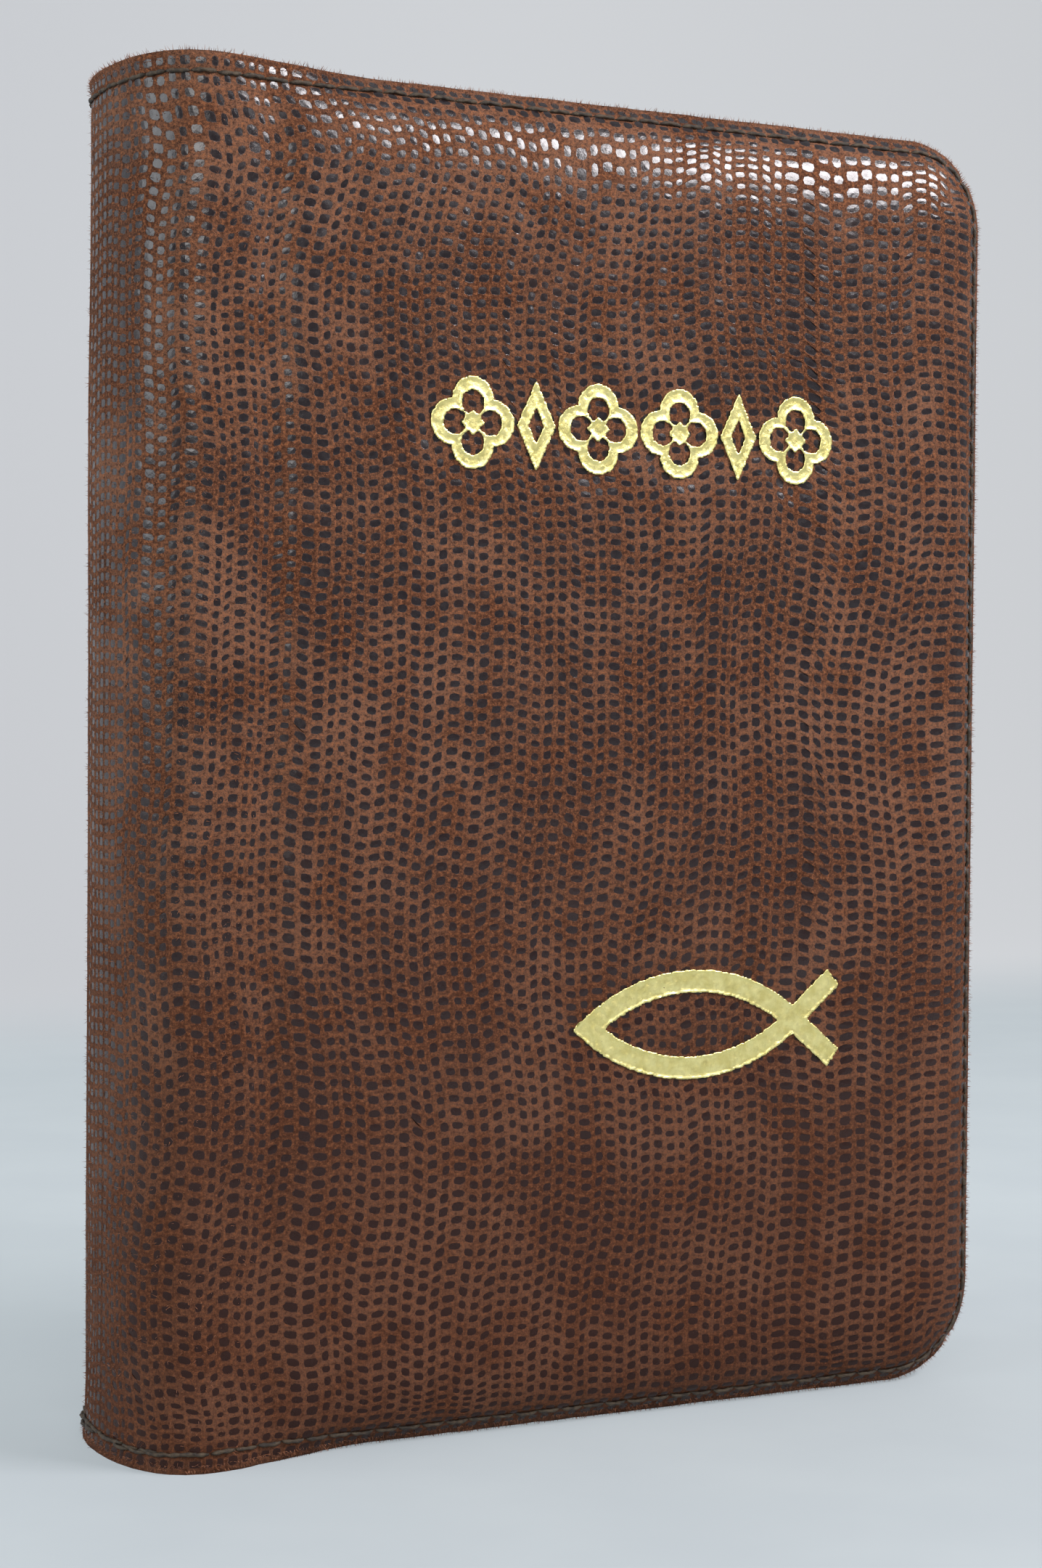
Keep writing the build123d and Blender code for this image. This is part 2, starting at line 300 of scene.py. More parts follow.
def new_piece(name, points, faces, materials, smooth_shade=True):
    """An object from points in millimetres. Materials is one material or a list of them."""
    mesh = bpy.data.meshes.new(name)
    mesh.from_pydata((np.asarray(points) * MM).tolist(), [], faces)
    mesh.polygons.foreach_set("use_smooth", np.full(len(mesh.polygons), smooth_shade))
    for material in materials if isinstance(materials, list) else [materials]:
        mesh.materials.append(material)
    mesh.update()
    return add_object(name, mesh)


def mark_scales(piece, values):
    """Marks each point of the leather: 0 on the nap, up to 1 in the middle of a scale."""
    attribute = piece.data.attributes.new("scale", "FLOAT", "POINT")
    attribute.data.foreach_set("value", np.asarray(values, np.float32))


def set_sheet(piece, places):
    """Gives each point its flat place, which the materials' patterns follow."""
    attribute = piece.data.attributes.new("sheet", "FLOAT_VECTOR", "POINT")
    attribute.data.foreach_set("vector", np.asarray(places, np.float32).ravel())


def set_slots(piece, slots):
    piece.data.polygons.foreach_set("material_index", np.asarray(slots, np.int32))


def link_faces(*sides):
    """Faces from arrays of point numbers, one array to each corner of the face."""
    return np.stack(sides, 1).tolist()


def on_side(shape, side):
    """Points and faces of the front half, mirrored to the back where side is 1."""
    points, faces = shape
    if side < 0:
        return points, faces
    return points * np.array([1, -1, 1]), [face[::-1] for face in faces]


def tube(path, radius, sides, twist=0.0, ply=0.0, up=(0, 0, 1)):
    """Points and faces of a round bar along a path, with a two-ply twist where ply is given."""
    path = np.asarray(path, float)
    count = len(path)
    heading = np.gradient(path, axis=0)
    heading /= np.linalg.norm(heading, axis=1, keepdims=True)
    across = np.cross(heading, up)
    across /= np.maximum(np.linalg.norm(across, axis=1, keepdims=True), 1e-9)
    over = np.cross(across, heading)
    angles = np.arange(sides) * 2 * math.pi / sides
    along = np.arange(count) * twist
    radii = np.broadcast_to(np.asarray(radius, float), (count,))
    ring = radii[:, None] * (1 + ply * np.cos(2 * (angles[None, :] + along[:, None])))
    aside = (ring * np.cos(angles))[..., None] * across[:, None, :]
    above = (ring * np.sin(angles))[..., None] * over[:, None, :]
    points = (path[:, None, :] + aside + above).reshape(-1, 3)
    here = (np.arange(count - 1)[:, None] * sides + np.arange(sides)).ravel()
    after = (np.arange(count - 1)[:, None] * sides + np.roll(np.arange(sides), -1)).ravel()
    faces = link_faces(here, after, after + sides, here + sides)
    faces.append(list(range(sides))[::-1])
    faces.append([(count - 1) * sides + side for side in range(sides)])
    return points, faces


def join(parts):
    """One list of points and faces from several."""
    points, faces, start = [], [], 0
    for part_points, part_faces in parts:
        points.append(part_points)
        faces.extend([[start + i for i in face] for face in part_faces])
        start += len(part_points)
    return np.concatenate(points), faces


def border_loop(columns, rows):
    """Point numbers round a grid: along its low end, up its right side and back again."""
    low = [c * (rows + 1) for c in range(columns)]
    right = [columns * (rows + 1) + r for r in range(rows)]
    high = [c * (rows + 1) + rows for c in range(columns, 0, -1)]
    left = list(range(rows, 0, -1))
    return np.array(low + right + high + left)


def grid_quads(columns, rows):
    """Point numbers round each cell of a grid, from its low left corner and along its low side."""
    corner = (np.arange(columns)[:, None] * (rows + 1) + np.arange(rows)).ravel()
    return np.stack([corner, corner + rows + 1, corner + rows + 2, corner + 1], 1)


def shell_faces(quads, count, border, after):
    """Faces of a closed shell, whose inner points come "count" after its outer ones."""
    rim = link_faces(border, border + count, after + count, after)
    return quads.tolist() + (quads[:, ::-1] + count).tolist() + rim


def slab(outer, inner):
    """Points and faces of a closed slab between two grids of points, the outer one facing out."""
    columns, rows = outer.shape[0] - 1, outer.shape[1] - 1
    border = border_loop(columns, rows)
    count = (columns + 1) * (rows + 1)
    faces = shell_faces(grid_quads(columns, rows), count, border, np.roll(border, -1))
    return np.concatenate([outer.reshape(-1, 3), inner.reshape(-1, 3)]), faces


def sided_piece(name, shape, side, material, smooth_shade=True):
    return new_piece(name, *on_side(shape, side), material, smooth_shade)


# ---- Gold ornaments as distance fields, negative inside -----------------------------------

title_height = title_high[2] - title_low[2]
title_middle = (title_high[2] + title_low[2]) / 2
lozenge_width = 6.0
fish_stroke = 3.2
fish_tail_run = 7.0
fish_tail_end = 1.1             # how far a tail stroke's square corner reaches past its run
foil_depth = 0.16
foil_thickness = 0.16
rim_rise = 0.17                 # of the foil's rim, turned up by the press
rim_width = 0.5
press_clearance = 0.12
press_reach = 3.4               # how far from the foil the leather is drawn down
press_run = 2.9


def rosette_field(x, z):
    """Four round lobes, each with a hole, and a small square heart."""
    lobe = title_height / 4
    stroke = 1.9
    spread = lobe - stroke / 4
    outside, hole = np.inf, np.inf
    for dx, dz in ((1, 0), (0, 1), (-1, 0), (0, -1)):
        outside = np.minimum(outside, np.hypot(x - dx * lobe, z - dz * lobe) - lobe)
        hole = np.minimum(hole, np.hypot(x - dx * spread, z - dz * spread) - lobe + stroke * 0.75)
    heart = (np.abs(x) + np.abs(z) - stroke * 0.95) / math.sqrt(2)
    return np.minimum(np.maximum(outside, -hole), heart)


def lozenge_field(x, z):
    half_width, half_height = lozenge_width / 2, title_height / 2
    hole_share = 0.4
    size = half_width * half_height / math.hypot(half_width, half_height)
    reach = np.abs(x) / half_width + np.abs(z) / half_height
    return np.maximum((reach - 1) * size, (hole_share - reach) * size)


def title_field(x, z):
    """Rosette, lozenge, rosette, and the same again, spaced evenly over the title's width."""
    pattern = [rosette_field, lozenge_field, rosette_field] * 2
    widths = [lozenge_width if shape is lozenge_field else title_height for shape in pattern]
    gap = (title_high[0] - title_low[0] - sum(widths)) / (len(pattern) - 1)
    field = np.full(np.shape(x), np.inf)
    left = title_low[0]
    for shape, width in zip(pattern, widths):
        field = np.minimum(field, shape(x - left - width / 2, z - title_middle))
        left += width + gap
    return field


def fish_field(x, z):
    """Two arcs from the pointed nose to the crossing of the tail, each run on in a straight line."""
    half = fish_stroke / 2
    nose_x = fish_low[0] + half
    crossing_x = fish_high[0] - fish_tail_run - fish_tail_end
    fish_middle = (fish_low[2] + fish_high[2]) / 2
    rise = (fish_high[2] - fish_low[2]) / 2 - half
    run = (crossing_x - nose_x) / 2
    radius = (run ** 2 + rise ** 2) / (2 * rise)
    upper = np.hypot(x - nose_x - run, z - fish_middle + radius - rise)
    lower = np.hypot(x - nose_x - run, z - fish_middle - radius + rise)
    reach = np.maximum(upper, lower)
    field = np.maximum(reach - radius - half, radius - half - reach)
    steep = math.atan2(-run, radius - rise)
    length = fish_tail_run / math.cos(steep)
    for sign in (1, -1):
        dz = (z - fish_middle) * sign
        along = (x - crossing_x) * math.cos(steep) + dz * math.sin(steep)
        across = np.abs(dz * math.cos(steep) - (x - crossing_x) * math.sin(steep))
        field = np.minimum(field, np.maximum(across - half, np.abs(along - length / 2) - length / 2))
    return field


def foil_field(x, z):
    return np.minimum(title_field(x, z), fish_field(x, z))


def foil_plate(name, field, low, high, material):
    """A thin gold sheet pressed into the leather, its ragged rim turned up like a dish's."""
    step = 0.22
    margin = 0.6
    xs = np.arange(low[0] - margin, high[0] + margin, step)
    zs = np.arange(low[2] - margin, high[2] + margin, step)
    x, z = np.meshgrid(xs, zs, indexing="ij")

    def ragged(px, pz):
        return field(px, pz) + 0.05 * ripple(px, pz, 1.1, 21) + 0.04 * ripple(px, pz, 0.5, 22)

    value = ragged(x, z)
    middle = (value[1:, 1:] + value[:-1, 1:] + value[1:, :-1] + value[:-1, :-1]) / 4
    quads = grid_quads(len(xs) - 1, len(zs) - 1)[middle.ravel() < 0]
    used, quads = np.unique(quads, return_inverse=True)
    quads = quads.reshape(-1, 4)
    px, pz = x.ravel()[used], z.ravel()[used]
    small = 0.02
    for _ in range(3):              # moves the rim's points onto the ragged outline
        here = ragged(px, pz)
        slope_x = (ragged(px + small, pz) - here) / small
        slope_z = (ragged(px, pz + small) - here) / small
        steepness = np.maximum(slope_x ** 2 + slope_z ** 2, 0.3)
        move = np.where(here > -0.45 * step, np.clip(here, -step, step) / steepness, 0)
        px, pz = px - move * slope_x, pz - move * slope_z
    inside = np.minimum(ragged(px, pz), 0)
    rim = smooth(1 + inside / rim_width)
    ground = wrap(sheet_s(px), pz)[:, 1]
    crinkle = 0.02 * ripple(px, pz, 1.6, 23) + 0.012 * ripple(px, pz, 0.6, 24)
    top = xyz(px, ground + foil_depth - rim_rise * rim + crinkle, pz)
    under = top + np.array([0, foil_thickness, 0])
    edges = {}                      # only the rim's edges belong to a single face
    for quad in quads.tolist():
        for a, b in zip(quad, quad[1:] + quad[:1]):
            if (b, a) in edges:
                del edges[(b, a)]
            else:
                edges[(a, b)] = True
    faces = shell_faces(quads, len(used), *np.array(list(edges)).T)
    piece = new_piece(name, np.concatenate([top, under]), faces, material)
    set_sheet(piece, np.concatenate([xyz(px, pz, 0)] * 2))
    return piece


# ---- Leather ------------------------------------------------------------------------------

def sheet_grid(rng):
    """Corner points (s, t) of the leather's cells, in wandering columns of uneven width."""
    columns = round(sheet_length / cell_width)
    rows = round(case_height / cell_height)
    widths = rng.uniform(0.74, 1.26, columns - 1) * np.linspace(0.86, 1.1, columns - 1)
    lines = np.concatenate([[0], np.cumsum(widths)]) / widths.sum() * (sheet_length - stitch_margin)
    lines = np.append(lines, sheet_length)
    inner = np.linspace(stitch_margin / case_height, 1 - stitch_margin / case_height, rows - 1)
    levels = np.concatenate([[0], inner, [1]])
    s = np.repeat(lines[:, None], rows + 1, 1)
    x = sheet_x(s)
    low, high = tail_line(x), head_line(x)
    t = low + (high - low) * levels
    free_t = np.minimum(t - low, high - t) - stitch_margin
    free_s = np.minimum(s, sheet_length - stitch_margin - s)
    free = smooth(free_t / 10) * smooth(free_s / 8)     # 0 along the seam and the spine's middle
    phase = rng.uniform(0, 2 * math.pi, columns + 1)[:, None]
    span = rng.uniform(45, 100, columns + 1)[:, None]
    step = np.where(np.arange(columns + 1) // 2 % 2 == 0, 0.25, -0.25)[:, None]
    stagger = cell_height * (step + 0.2 * np.sin(2 * math.pi * t / span + phase))
    shift_s = 1.6 * ripple(0.35 * s, t, 46, 31) + 0.12 * ripple(s, t, 15, 32)
    shift_t = 2.8 * ripple(s, 0.25 * t, 48, 33) + 0.13 * ripple(s, t, 17, 34) + stagger
    jitter = rng.uniform(-0.13, 0.13, (2, columns + 1, rows + 1))
    return s + free * (shift_s + jitter[0]), t + free * (shift_t + jitter[1])


def cell_mean(values, left=1, low=1):
    """The mean of each cell's four corners, with these signs on its left and its low ones."""
    sides = left * values[:-1] + values[1:]
    return (low * sides[:, :-1] + sides[:, 1:])[:, :, None] / 4


def scale_outlines(s, t, rng):
    """Eight outline points and a middle (s, t) of the embossed scale inside each cell."""
    columns, rows = s.shape[0] - 1, s.shape[1] - 1
    shape = (columns, rows, 1)
    turns = np.arange(8) * math.pi / 4
    cosines, sines = np.round(np.cos(turns), 9), np.round(np.sin(turns), 9)
    a = np.sign(cosines) * np.abs(cosines) ** (2 / scale_squareness)
    b = np.sign(sines) * np.abs(sines) ** (2 / scale_squareness)
    half_wide, along_t = cell_mean(s, left=-1), cell_mean(t, left=-1)
    half_tall, along_s = cell_mean(t, low=-1), cell_mean(s, low=-1)
    wide = (half_wide - nap_gap) / half_wide * rng.uniform(0.86, 1.06, shape)
    tall = 0.6 * rng.uniform(0.84, 1.12, (columns, 1, 1)) * rng.uniform(0.84, 1.12, shape)
    tall = np.minimum(tall, 0.7)
    tall[:, [0, -1]] *= 0.7
    wide[-1] *= 0.7
    span = rng.uniform(40, 90, (columns, 1, 1))
    phase = rng.uniform(0, 2 * math.pi, (columns, 1, 1))
    step = np.array([0.2, -0.2, -0.2, 0.2])[np.arange(columns) % 4]
    off_b = step[:, None, None] + 0.06 * np.sin(2 * math.pi * cell_mean(t) / span + phase)
    off_b[:, [0, -1]] = 0
    tilt = rng.uniform(-0.12, 0.12, shape)
    off_a = rng.uniform(-0.06, 0.06, shape)
    wobble = 1 + rng.uniform(-0.08, 0.08, (columns, rows, 8))
    across = np.concatenate([off_a + wide * wobble * (a - tilt * b), off_a], 2)
    upward = np.concatenate([off_b + tall * wobble * (b + tilt * a), off_b], 2)
    scale_s = cell_mean(s) + across * half_wide + upward * along_s
    scale_t = cell_mean(t) + upward * half_tall + 0.35 * across * along_t
    height = rng.normal(0, 0.022, shape) * across + rng.normal(0, 0.022, shape) * upward
    height[:, :, 8] += 0.012 + rng.uniform(0, 0.02, (columns, rows))
    return scale_s, scale_t, height


def pressed(x, z):
    """How deep the blocking has pressed the leather."""
    return (foil_depth + press_clearance) * smooth((press_reach - foil_field(x, z)) / press_run)


def nap_heights(shape, rng):
    """Heights of the cells' corners: suede, a channel under the stitches and a ragged raw edge."""
    nap = nap_height + rng.uniform(-0.02, 0.03, shape)
    nap[0] = nap_height
    nap[:, [1, -2]] = -channel_depth
    nap[-2, 1:-1] = -channel_depth
    nap[:, [0, -1]] += rng.uniform(-0.05, 0.08, nap[:, [0, -1]].shape)
    return nap


def cell_faces(columns, rows):
    """Faces of the leather's cells: nap round the scales, the scales, and flesh and raw edge."""
    corner_count, cell_count = (columns + 1) * (rows + 1), columns * rows
    corner = grid_quads(columns, rows).T[[2, 3, 0, 1]]
    ring = corner_count + np.arange(cell_count) * 9
    nap_faces, scale_faces = [], []
    for k in range(4):
        outline = [ring + (2 * k + m) % 8 for m in (3, 2, 1)]
        nap_faces += link_faces(corner[k], corner[(k + 1) % 4], *outline)
    for k in range(8):
        scale_faces += link_faces(ring + k, ring + (k + 1) % 8, ring + 8)
    start = corner_count + cell_count * 9
    border = border_loop(columns, rows)
    after = np.roll(border, -1)
    raw_faces = link_faces(*(corner[::-1] + start))
    raw_faces += link_faces(border, border + start, after + start, after)
    return nap_faces, scale_faces, raw_faces


def leather_half(name, side, materials):
    """Half the case's leather: half the spine and one cover, a closed shell of embossed cells."""
    rng = np.random.default_rng(41 + side)
    s, t = sheet_grid(rng)
    columns, rows = s.shape[0] - 1, s.shape[1] - 1
    scale_s, scale_t, scale_height = scale_outlines(s, t, rng)
    lift = np.concatenate([nap_heights(s.shape, rng).ravel(), scale_height.ravel() - scale_depth])
    all_s = np.concatenate([s.ravel(), scale_s.ravel()])
    all_t = np.concatenate([t.ravel(), scale_t.ravel()])
    all_x, all_t = round_corners(sheet_x(all_s), all_t)
    all_s = sheet_s(all_x)
    if side < 0:
        lift = lift - pressed(all_x, all_t)
    outer = wrap_out(all_s, all_t, lift)
    inner = wrap_out(all_s[:s.size], all_t[:s.size], -leather)
    groups = cell_faces(columns, rows)
    piece = sided_piece(name, (np.concatenate([outer, inner]), sum(groups, [])), side, materials)
    counts = [len(faces) for faces in groups]
    piece.data.polygons.foreach_set("use_smooth", np.repeat([True, False, True], counts))
    set_slots(piece, np.repeat([0, 0, 1], counts))
    mark = np.full((columns, rows, 9), 0.5)
    mark[:, :, 8] = 1
    mark_scales(piece, np.concatenate([np.zeros(s.size), mark.ravel(), np.zeros(s.size)]))
    sheet = xyz(all_s * side, all_t, 0)
    set_sheet(piece, np.concatenate([sheet, sheet[:s.size]]))
    return piece


# ---- Stitching ----------------------------------------------------------------------------

def edge_path(margin, step=0.2):
    """A line on the sheet at this margin: along the tail, up the fore-edge and back along the head."""
    tail_run = np.arange(0, sheet_length - tail_corner, step)
    head_run = np.arange(sheet_length - head_corner, 0, -step)
    corner_run = 25                 # about the length of a corner's arc
    quarter = np.linspace(-math.pi / 2, 0, round(corner_run / step))
    tail_reach, head_reach = tail_corner - margin, head_corner - margin
    rise = np.arange(rise_low, rise_high, step)
    s = np.concatenate([
        tail_run,
        sheet_length - tail_corner + tail_reach * np.cos(quarter),
        np.full(len(rise), sheet_length - margin),
        sheet_length - head_corner + head_reach * np.cos(-quarter[::-1]),
        head_run,
    ])
    t = np.concatenate([
        tail_line(sheet_x(tail_run)) + margin,
        rise_low + tail_reach * np.sin(quarter),
        rise,
        rise_high + head_reach * np.sin(-quarter[::-1]),
        head_line(sheet_x(head_run)) - margin,
    ])
    return s, t


def stitch(s, t, lift, radius, rng):
    """One two-ply stitch that dives into the leather at both ends."""
    along = np.linspace(0, 1, len(s))
    from_middle = np.abs(2 * along - 1)
    rise = lift * (1 - from_middle ** 3) - 0.35 * from_middle ** 6
    slack = rng.uniform(-0.12, 0.12) * np.sin(math.pi * along)
    slant = rng.uniform(-0.08, 0.08) * (2 * along - 1)
    thickness = radius * rng.uniform(0.9, 1.12) * (1 - 0.3 * from_middle ** 4)
    path = wrap_out(s, t + slack + slant, rise)
    return tube(path, thickness, 8, twist=0.55, ply=0.24)


def stitching_half(name, side, material):
    """The row of hem stitches, with a few more sewn back over its start."""
    rng = np.random.default_rng(61 + side)
    s, t = edge_path(stitch_margin)
    run = travel(s, t)
    count = round(run[-1] / stitch_length)
    pitch = run[-1] / count

    def reach(middle, half_length):
        here = np.linspace(middle - half_length, middle + half_length, 13)
        here = np.clip(here, 0, run[-1])
        return np.interp(here, run, s), np.interp(here, run, t)

    stitches = []
    for k in range(count):
        here_s, here_t = reach((k + 0.5) * pitch + rng.uniform(-0.1, 0.1), pitch * 0.46)
        stitches.append(stitch(here_s, here_t, stitch_lift, thread_radius, rng))
    for k in range(back_stitches):
        here_s, here_t = reach((k + 1) * pitch + rng.uniform(-0.3, 0.3), pitch * 0.5)
        here_t = here_t + rng.uniform(-0.5, 0.35)
        stitches.append(stitch(here_s, here_t, back_stitch_lift, 0.96 * thread_radius, rng))
    return sided_piece(name, join(stitches), side, material)


def fibres(name, side, material):
    """Loose suede fibres on the raw edge, the hem and the spine, each a fine closed spike."""
    rng = np.random.default_rng(131 + side)
    edge_count, face_count = 5600, 3600
    margins = (0.02, 0.5, 1.1)
    edges = np.array([edge_path(margin) for margin in margins])
    pick = rng.integers(0, edges.shape[2], edge_count)
    which = rng.integers(0, len(margins), edge_count)
    face_s = rng.uniform(0, spine_run + 6, face_count)
    face_t = rng.uniform(1, case_height - 1, face_count)
    s = np.concatenate([edges[which, 0, pick], face_s])
    t = np.concatenate([edges[which, 1, pick], face_t])
    s = np.clip(s + rng.uniform(-0.1, 0.1, len(s)), 0.05, sheet_length)
    root = wrap_out(s, t, -0.1)
    normal = wrap_out(s, t, 0.9) - root
    gap, out_x, out_t = from_edge(sheet_x(s), t)
    out = xyz(out_x, 0, out_t) * np.exp(-np.maximum(gap, 0) / 0.7)[:, None]
    heading = 0.7 * normal + 1.3 * out + rng.normal(0, 0.55, (len(s), 3))
    heading /= np.linalg.norm(heading, axis=1, keepdims=True)
    length = rng.uniform(0.35, 0.95, len(s))[:, None]
    across = np.cross(heading, rng.normal(0, 1, (len(s), 3)))
    across *= fibre_radius / np.linalg.norm(across, axis=1, keepdims=True)
    over = np.cross(heading, across)
    turns = [k * 2 * math.pi / 3 for k in range(3)]
    base = [root + across * math.cos(turn) + over * math.sin(turn) for turn in turns]
    points = np.stack([*base, root + heading * length], 1).reshape(-1, 3)
    first = np.arange(len(s)) * 4
    faces = link_faces(first, first + 2, first + 1)
    for k in range(3):
        faces += link_faces(first + k, first + (k + 1) % 3, first + 3)
    return sided_piece(name, (points, faces), side, material, False)


# ---- Inside of the covers -----------------------------------------------------------------

lining_low, lining_high = box_mm("lining_front")
padding_y = lining_low[1]
lining_y = (lining_low[1] + lining_high[1]) / 2
lining = 0.24
lining_gap = 0.12               # between the leather's flesh side and what lies on it


def panel_grid(left, inset, columns, rows):
    """Flat places (x, t) of a cover-shaped panel, and the leather's flesh side above them."""
    x = np.linspace(left, sheet_right - inset, columns)[:, None]
    t = np.linspace(tail_edge + inset, head_edge - inset, rows)[None, :]
    x, t = round_corners(*np.broadcast_arrays(x, t), inset)
    return x, t, wrap_out(sheet_s(x), t, -leather - lining_gap)


def pillow(name, side, material):
    """Foam and board that fill the cover between its leather and its lining."""
    outer = panel_grid(hinge_x + 6, 4.8, 40, 60)[2]
    inner = outer.copy()
    inner[..., 1] = np.maximum(padding_y + 0.02, outer[..., 1] + 0.1)
    return sided_piece(name, slab(outer, inner), side, material)


def endpaper(name, side, material):
    """The pasted-down lining, puckered a little where it is glued to the turned-in leather."""
    x, t, outer = panel_grid(hinge_x + 1, 3.7, 60, 80)
    pucker = 0.06 * ripple(x, t, 22, 51) + 0.03 * ripple(x, t, 7, 52)
    outer[..., 1] = np.maximum(lining_y - lining / 2 + pucker, outer[..., 1])
    return sided_piece(name, slab(outer, outer + np.array([0, lining, 0])), side, material)


# ---- Zip ----------------------------------------------------------------------------------

def middle_z(node):
    low, high = box_mm(node)
    return (low[2] + high[2]) / 2


head_zip_z = middle_z("zip_end_head")
tail_zip_z = middle_z("zip_end_tail")
tape_edge_y = box_mm("zip_coil_front")[0][1] + 0.4
tape = 0.45
zip_left = box_mm("zip_end_coils")[0][0]
spine_right = spine_high[0]
cover_zip_s = sheet_s(spine_right + 0.6)        # where a cover's own length of zip starts
coil_pitch = 1.3
coil_wire = 0.28
coil_depth = 1.25               # half the coil's size, across the zip and out of the book
coil_rise = 0.72
coil_from_middle = 0.95


def zip_line(step):
    """The middle of the zip, in step with edge_path, and the direction out of the book."""
    flat_s, flat_t = edge_path(0, step)
    x = sheet_x(flat_s)
    out = xyz(np.zeros(len(x)), 0, np.where(flat_t > case_height / 2, 1.0, -1.0))
    z = np.where(flat_t > case_height / 2, head_zip_z, tail_zip_z)
    tail_reach, head_reach = rise_low - tail_zip_z, head_zip_z - rise_high
    low_x = sheet_right - tail_corner + tail_reach
    high_x = sheet_right - head_corner + head_reach
    turns = ((tail_corner, rise_low, tail_reach, -1), (head_corner, rise_high, head_reach, 1))
    for radius, centre_z, reach, sign in turns:
        dx = x - sheet_right + radius
        dz = flat_t - centre_z
        inside = (dx > 1e-6) & (dz * sign >= -1e-6)
        angle = np.arctan2(dz, dx)
        out = np.where(inside[:, None], xyz(np.cos(angle), 0, np.sin(angle)), out)
        z = np.where(inside, centre_z + reach * np.sin(angle), z)
        x = np.where(inside, sheet_right - radius + reach * np.cos(angle), x)
    rising = (flat_t > rise_low) & (flat_t < rise_high) & (flat_s > sheet_length - 1)
    climb = np.clip((flat_t - rise_low) / (rise_high - rise_low), 0, 1)
    x = np.where(rising, low_x + (high_x - low_x) * climb, x)
    z = np.where(rising, flat_t, z)
    out = np.where(rising[:, None], (1.0, 0.0, 0.0), out)
    return xyz(x, 0, z), out


def cover_tape(name, side, material):
    """Woven tape, sewn inside the hem and bent across to the zip."""
    step = 1.2
    middle, out = zip_line(step)
    keep = edge_path(0, step)[0] > cover_zip_s
    rows = []
    for margin in (5.2, 3.2, 1.2):
        s, t = edge_path(margin, step)
        rows.append(wrap_out(s, t, -leather - 0.08))
    line = middle + np.array([0, tape_edge_y, 0])
    along = np.arange(len(s)) * step
    sag = 0.1 * ripple(along, 0 * along, 26, 71)
    for share in (0.3, 0.65, 1.0):
        bow = 0.5 * math.sin(math.pi * share) + sag * (1 - share)
        rows.append(rows[2] * (1 - share) + line * share - out * bow[:, None])
    outer = np.stack(rows, 1)[keep]
    inner = outer - out[keep][:, None, :] * tape
    inner[:, :3, 1] += tape * 0.7
    piece = sided_piece(name, slab(outer, inner), side, material)
    across = np.array([0, 2, 4, 5.5, 7, 8.5])       # of each row of points, for the weave
    weave = xyz(along[keep][:, None], across[None, :], 0).reshape(-1, 3)
    set_sheet(piece, np.concatenate([weave, weave]))
    return piece


def wound_coil(middle, out, phase):
    """A zip coil: wire wound flat round a line, with each loop just past the meeting line."""
    run = travel(middle[:, 0], middle[:, 2])
    fine = np.arange(0, run[-1], coil_pitch / 10)
    middle, out = [
        np.stack([np.interp(fine, run, values[:, axis]) for axis in range(3)], 1)
        for values in (middle, out)
    ]
    out /= np.linalg.norm(out, axis=1, keepdims=True)
    turns = fine / coil_pitch * 2 * math.pi + phase
    aside = xyz(0, coil_depth * np.cos(turns) - coil_from_middle, 0)
    path = middle + aside + out * (coil_rise * np.sin(turns))[:, None]
    return tube(path, coil_wire, 6, up=(0.577, 0.577, 0.577))


def cover_coil(name, side, material):
    step = 0.5
    middle, out = zip_line(step)
    keep = edge_path(0, step)[0] > cover_zip_s
    phase = 0 if side < 0 else math.pi
    return sided_piece(name, wound_coil(middle[keep], out[keep], phase), side, material)


def spine_coils(name, material):
    """The short lengths of coil inside the spine, at head and tail."""
    x = np.linspace(zip_left, spine_right - 0.3, 60)
    parts = []
    for z, out_z in ((head_zip_z, 1.0), (tail_zip_z, -1.0)):
        for side, phase in ((-1, 0.5), (1, 0.5 + math.pi)):
            loops = wound_coil(xyz(x, 0, z), xyz(0 * x, 0, out_z), phase)
            parts.append(on_side(loops, side))
    return new_piece(name, *join(parts), material)


def spine_tape(name, z, material):
    """The fixed tape inside the spine: two tongues that follow the spine's inner shape."""
    x = np.linspace(spine_x + 2.6, spine_right - 0.1, 14)[:, None]
    share = np.linspace(0, 1, 10)[None, :]
    wall = np.interp(x, spine_curve_x, spine_curve_y, right=-half_thickness) + leather * 1.15
    y = np.minimum(wall, tape_edge_y - 0.5) * (1 - share) + tape_edge_y * share
    dip = 0.25 * np.sin(math.pi * share) * (1 if z < case_height / 2 else -1)
    low, high = xyz(x, y, z - tape / 2 + dip), xyz(x, y, z + tape / 2 + dip)
    tongue = slab(low, high)
    piece = new_piece(name, *join([on_side(tongue, -1), on_side(tongue, 1)]), material)
    set_sheet(piece, np.concatenate([xyz(x, y, 0).reshape(-1, 3)] * 4))
    return piece


# ---- Pages --------------------------------------------------------------------------------

block_low, block_high = box_mm("text_block")
leaf_low, leaf_high = box_mm("leaves_first")
second_low, second_high = box_mm("leaves_second")
page_left = leaf_low[0]
page_right = block_high[0]
page_corner = 9.0
layer = 0.2                     # of leaves that were trimmed alike
fold_run = 4.2
fold_thinning = 3.6
core_front_y = second_high[1] + 0.35            # behind the ribbon
core_back_y = -leaf_low[1] - 4.15               # in front of the last leaves
flyleaf = 0.14
ribbon_width = 6.0
ribbon_thickness = 0.1
gauze_pitch = 1.1


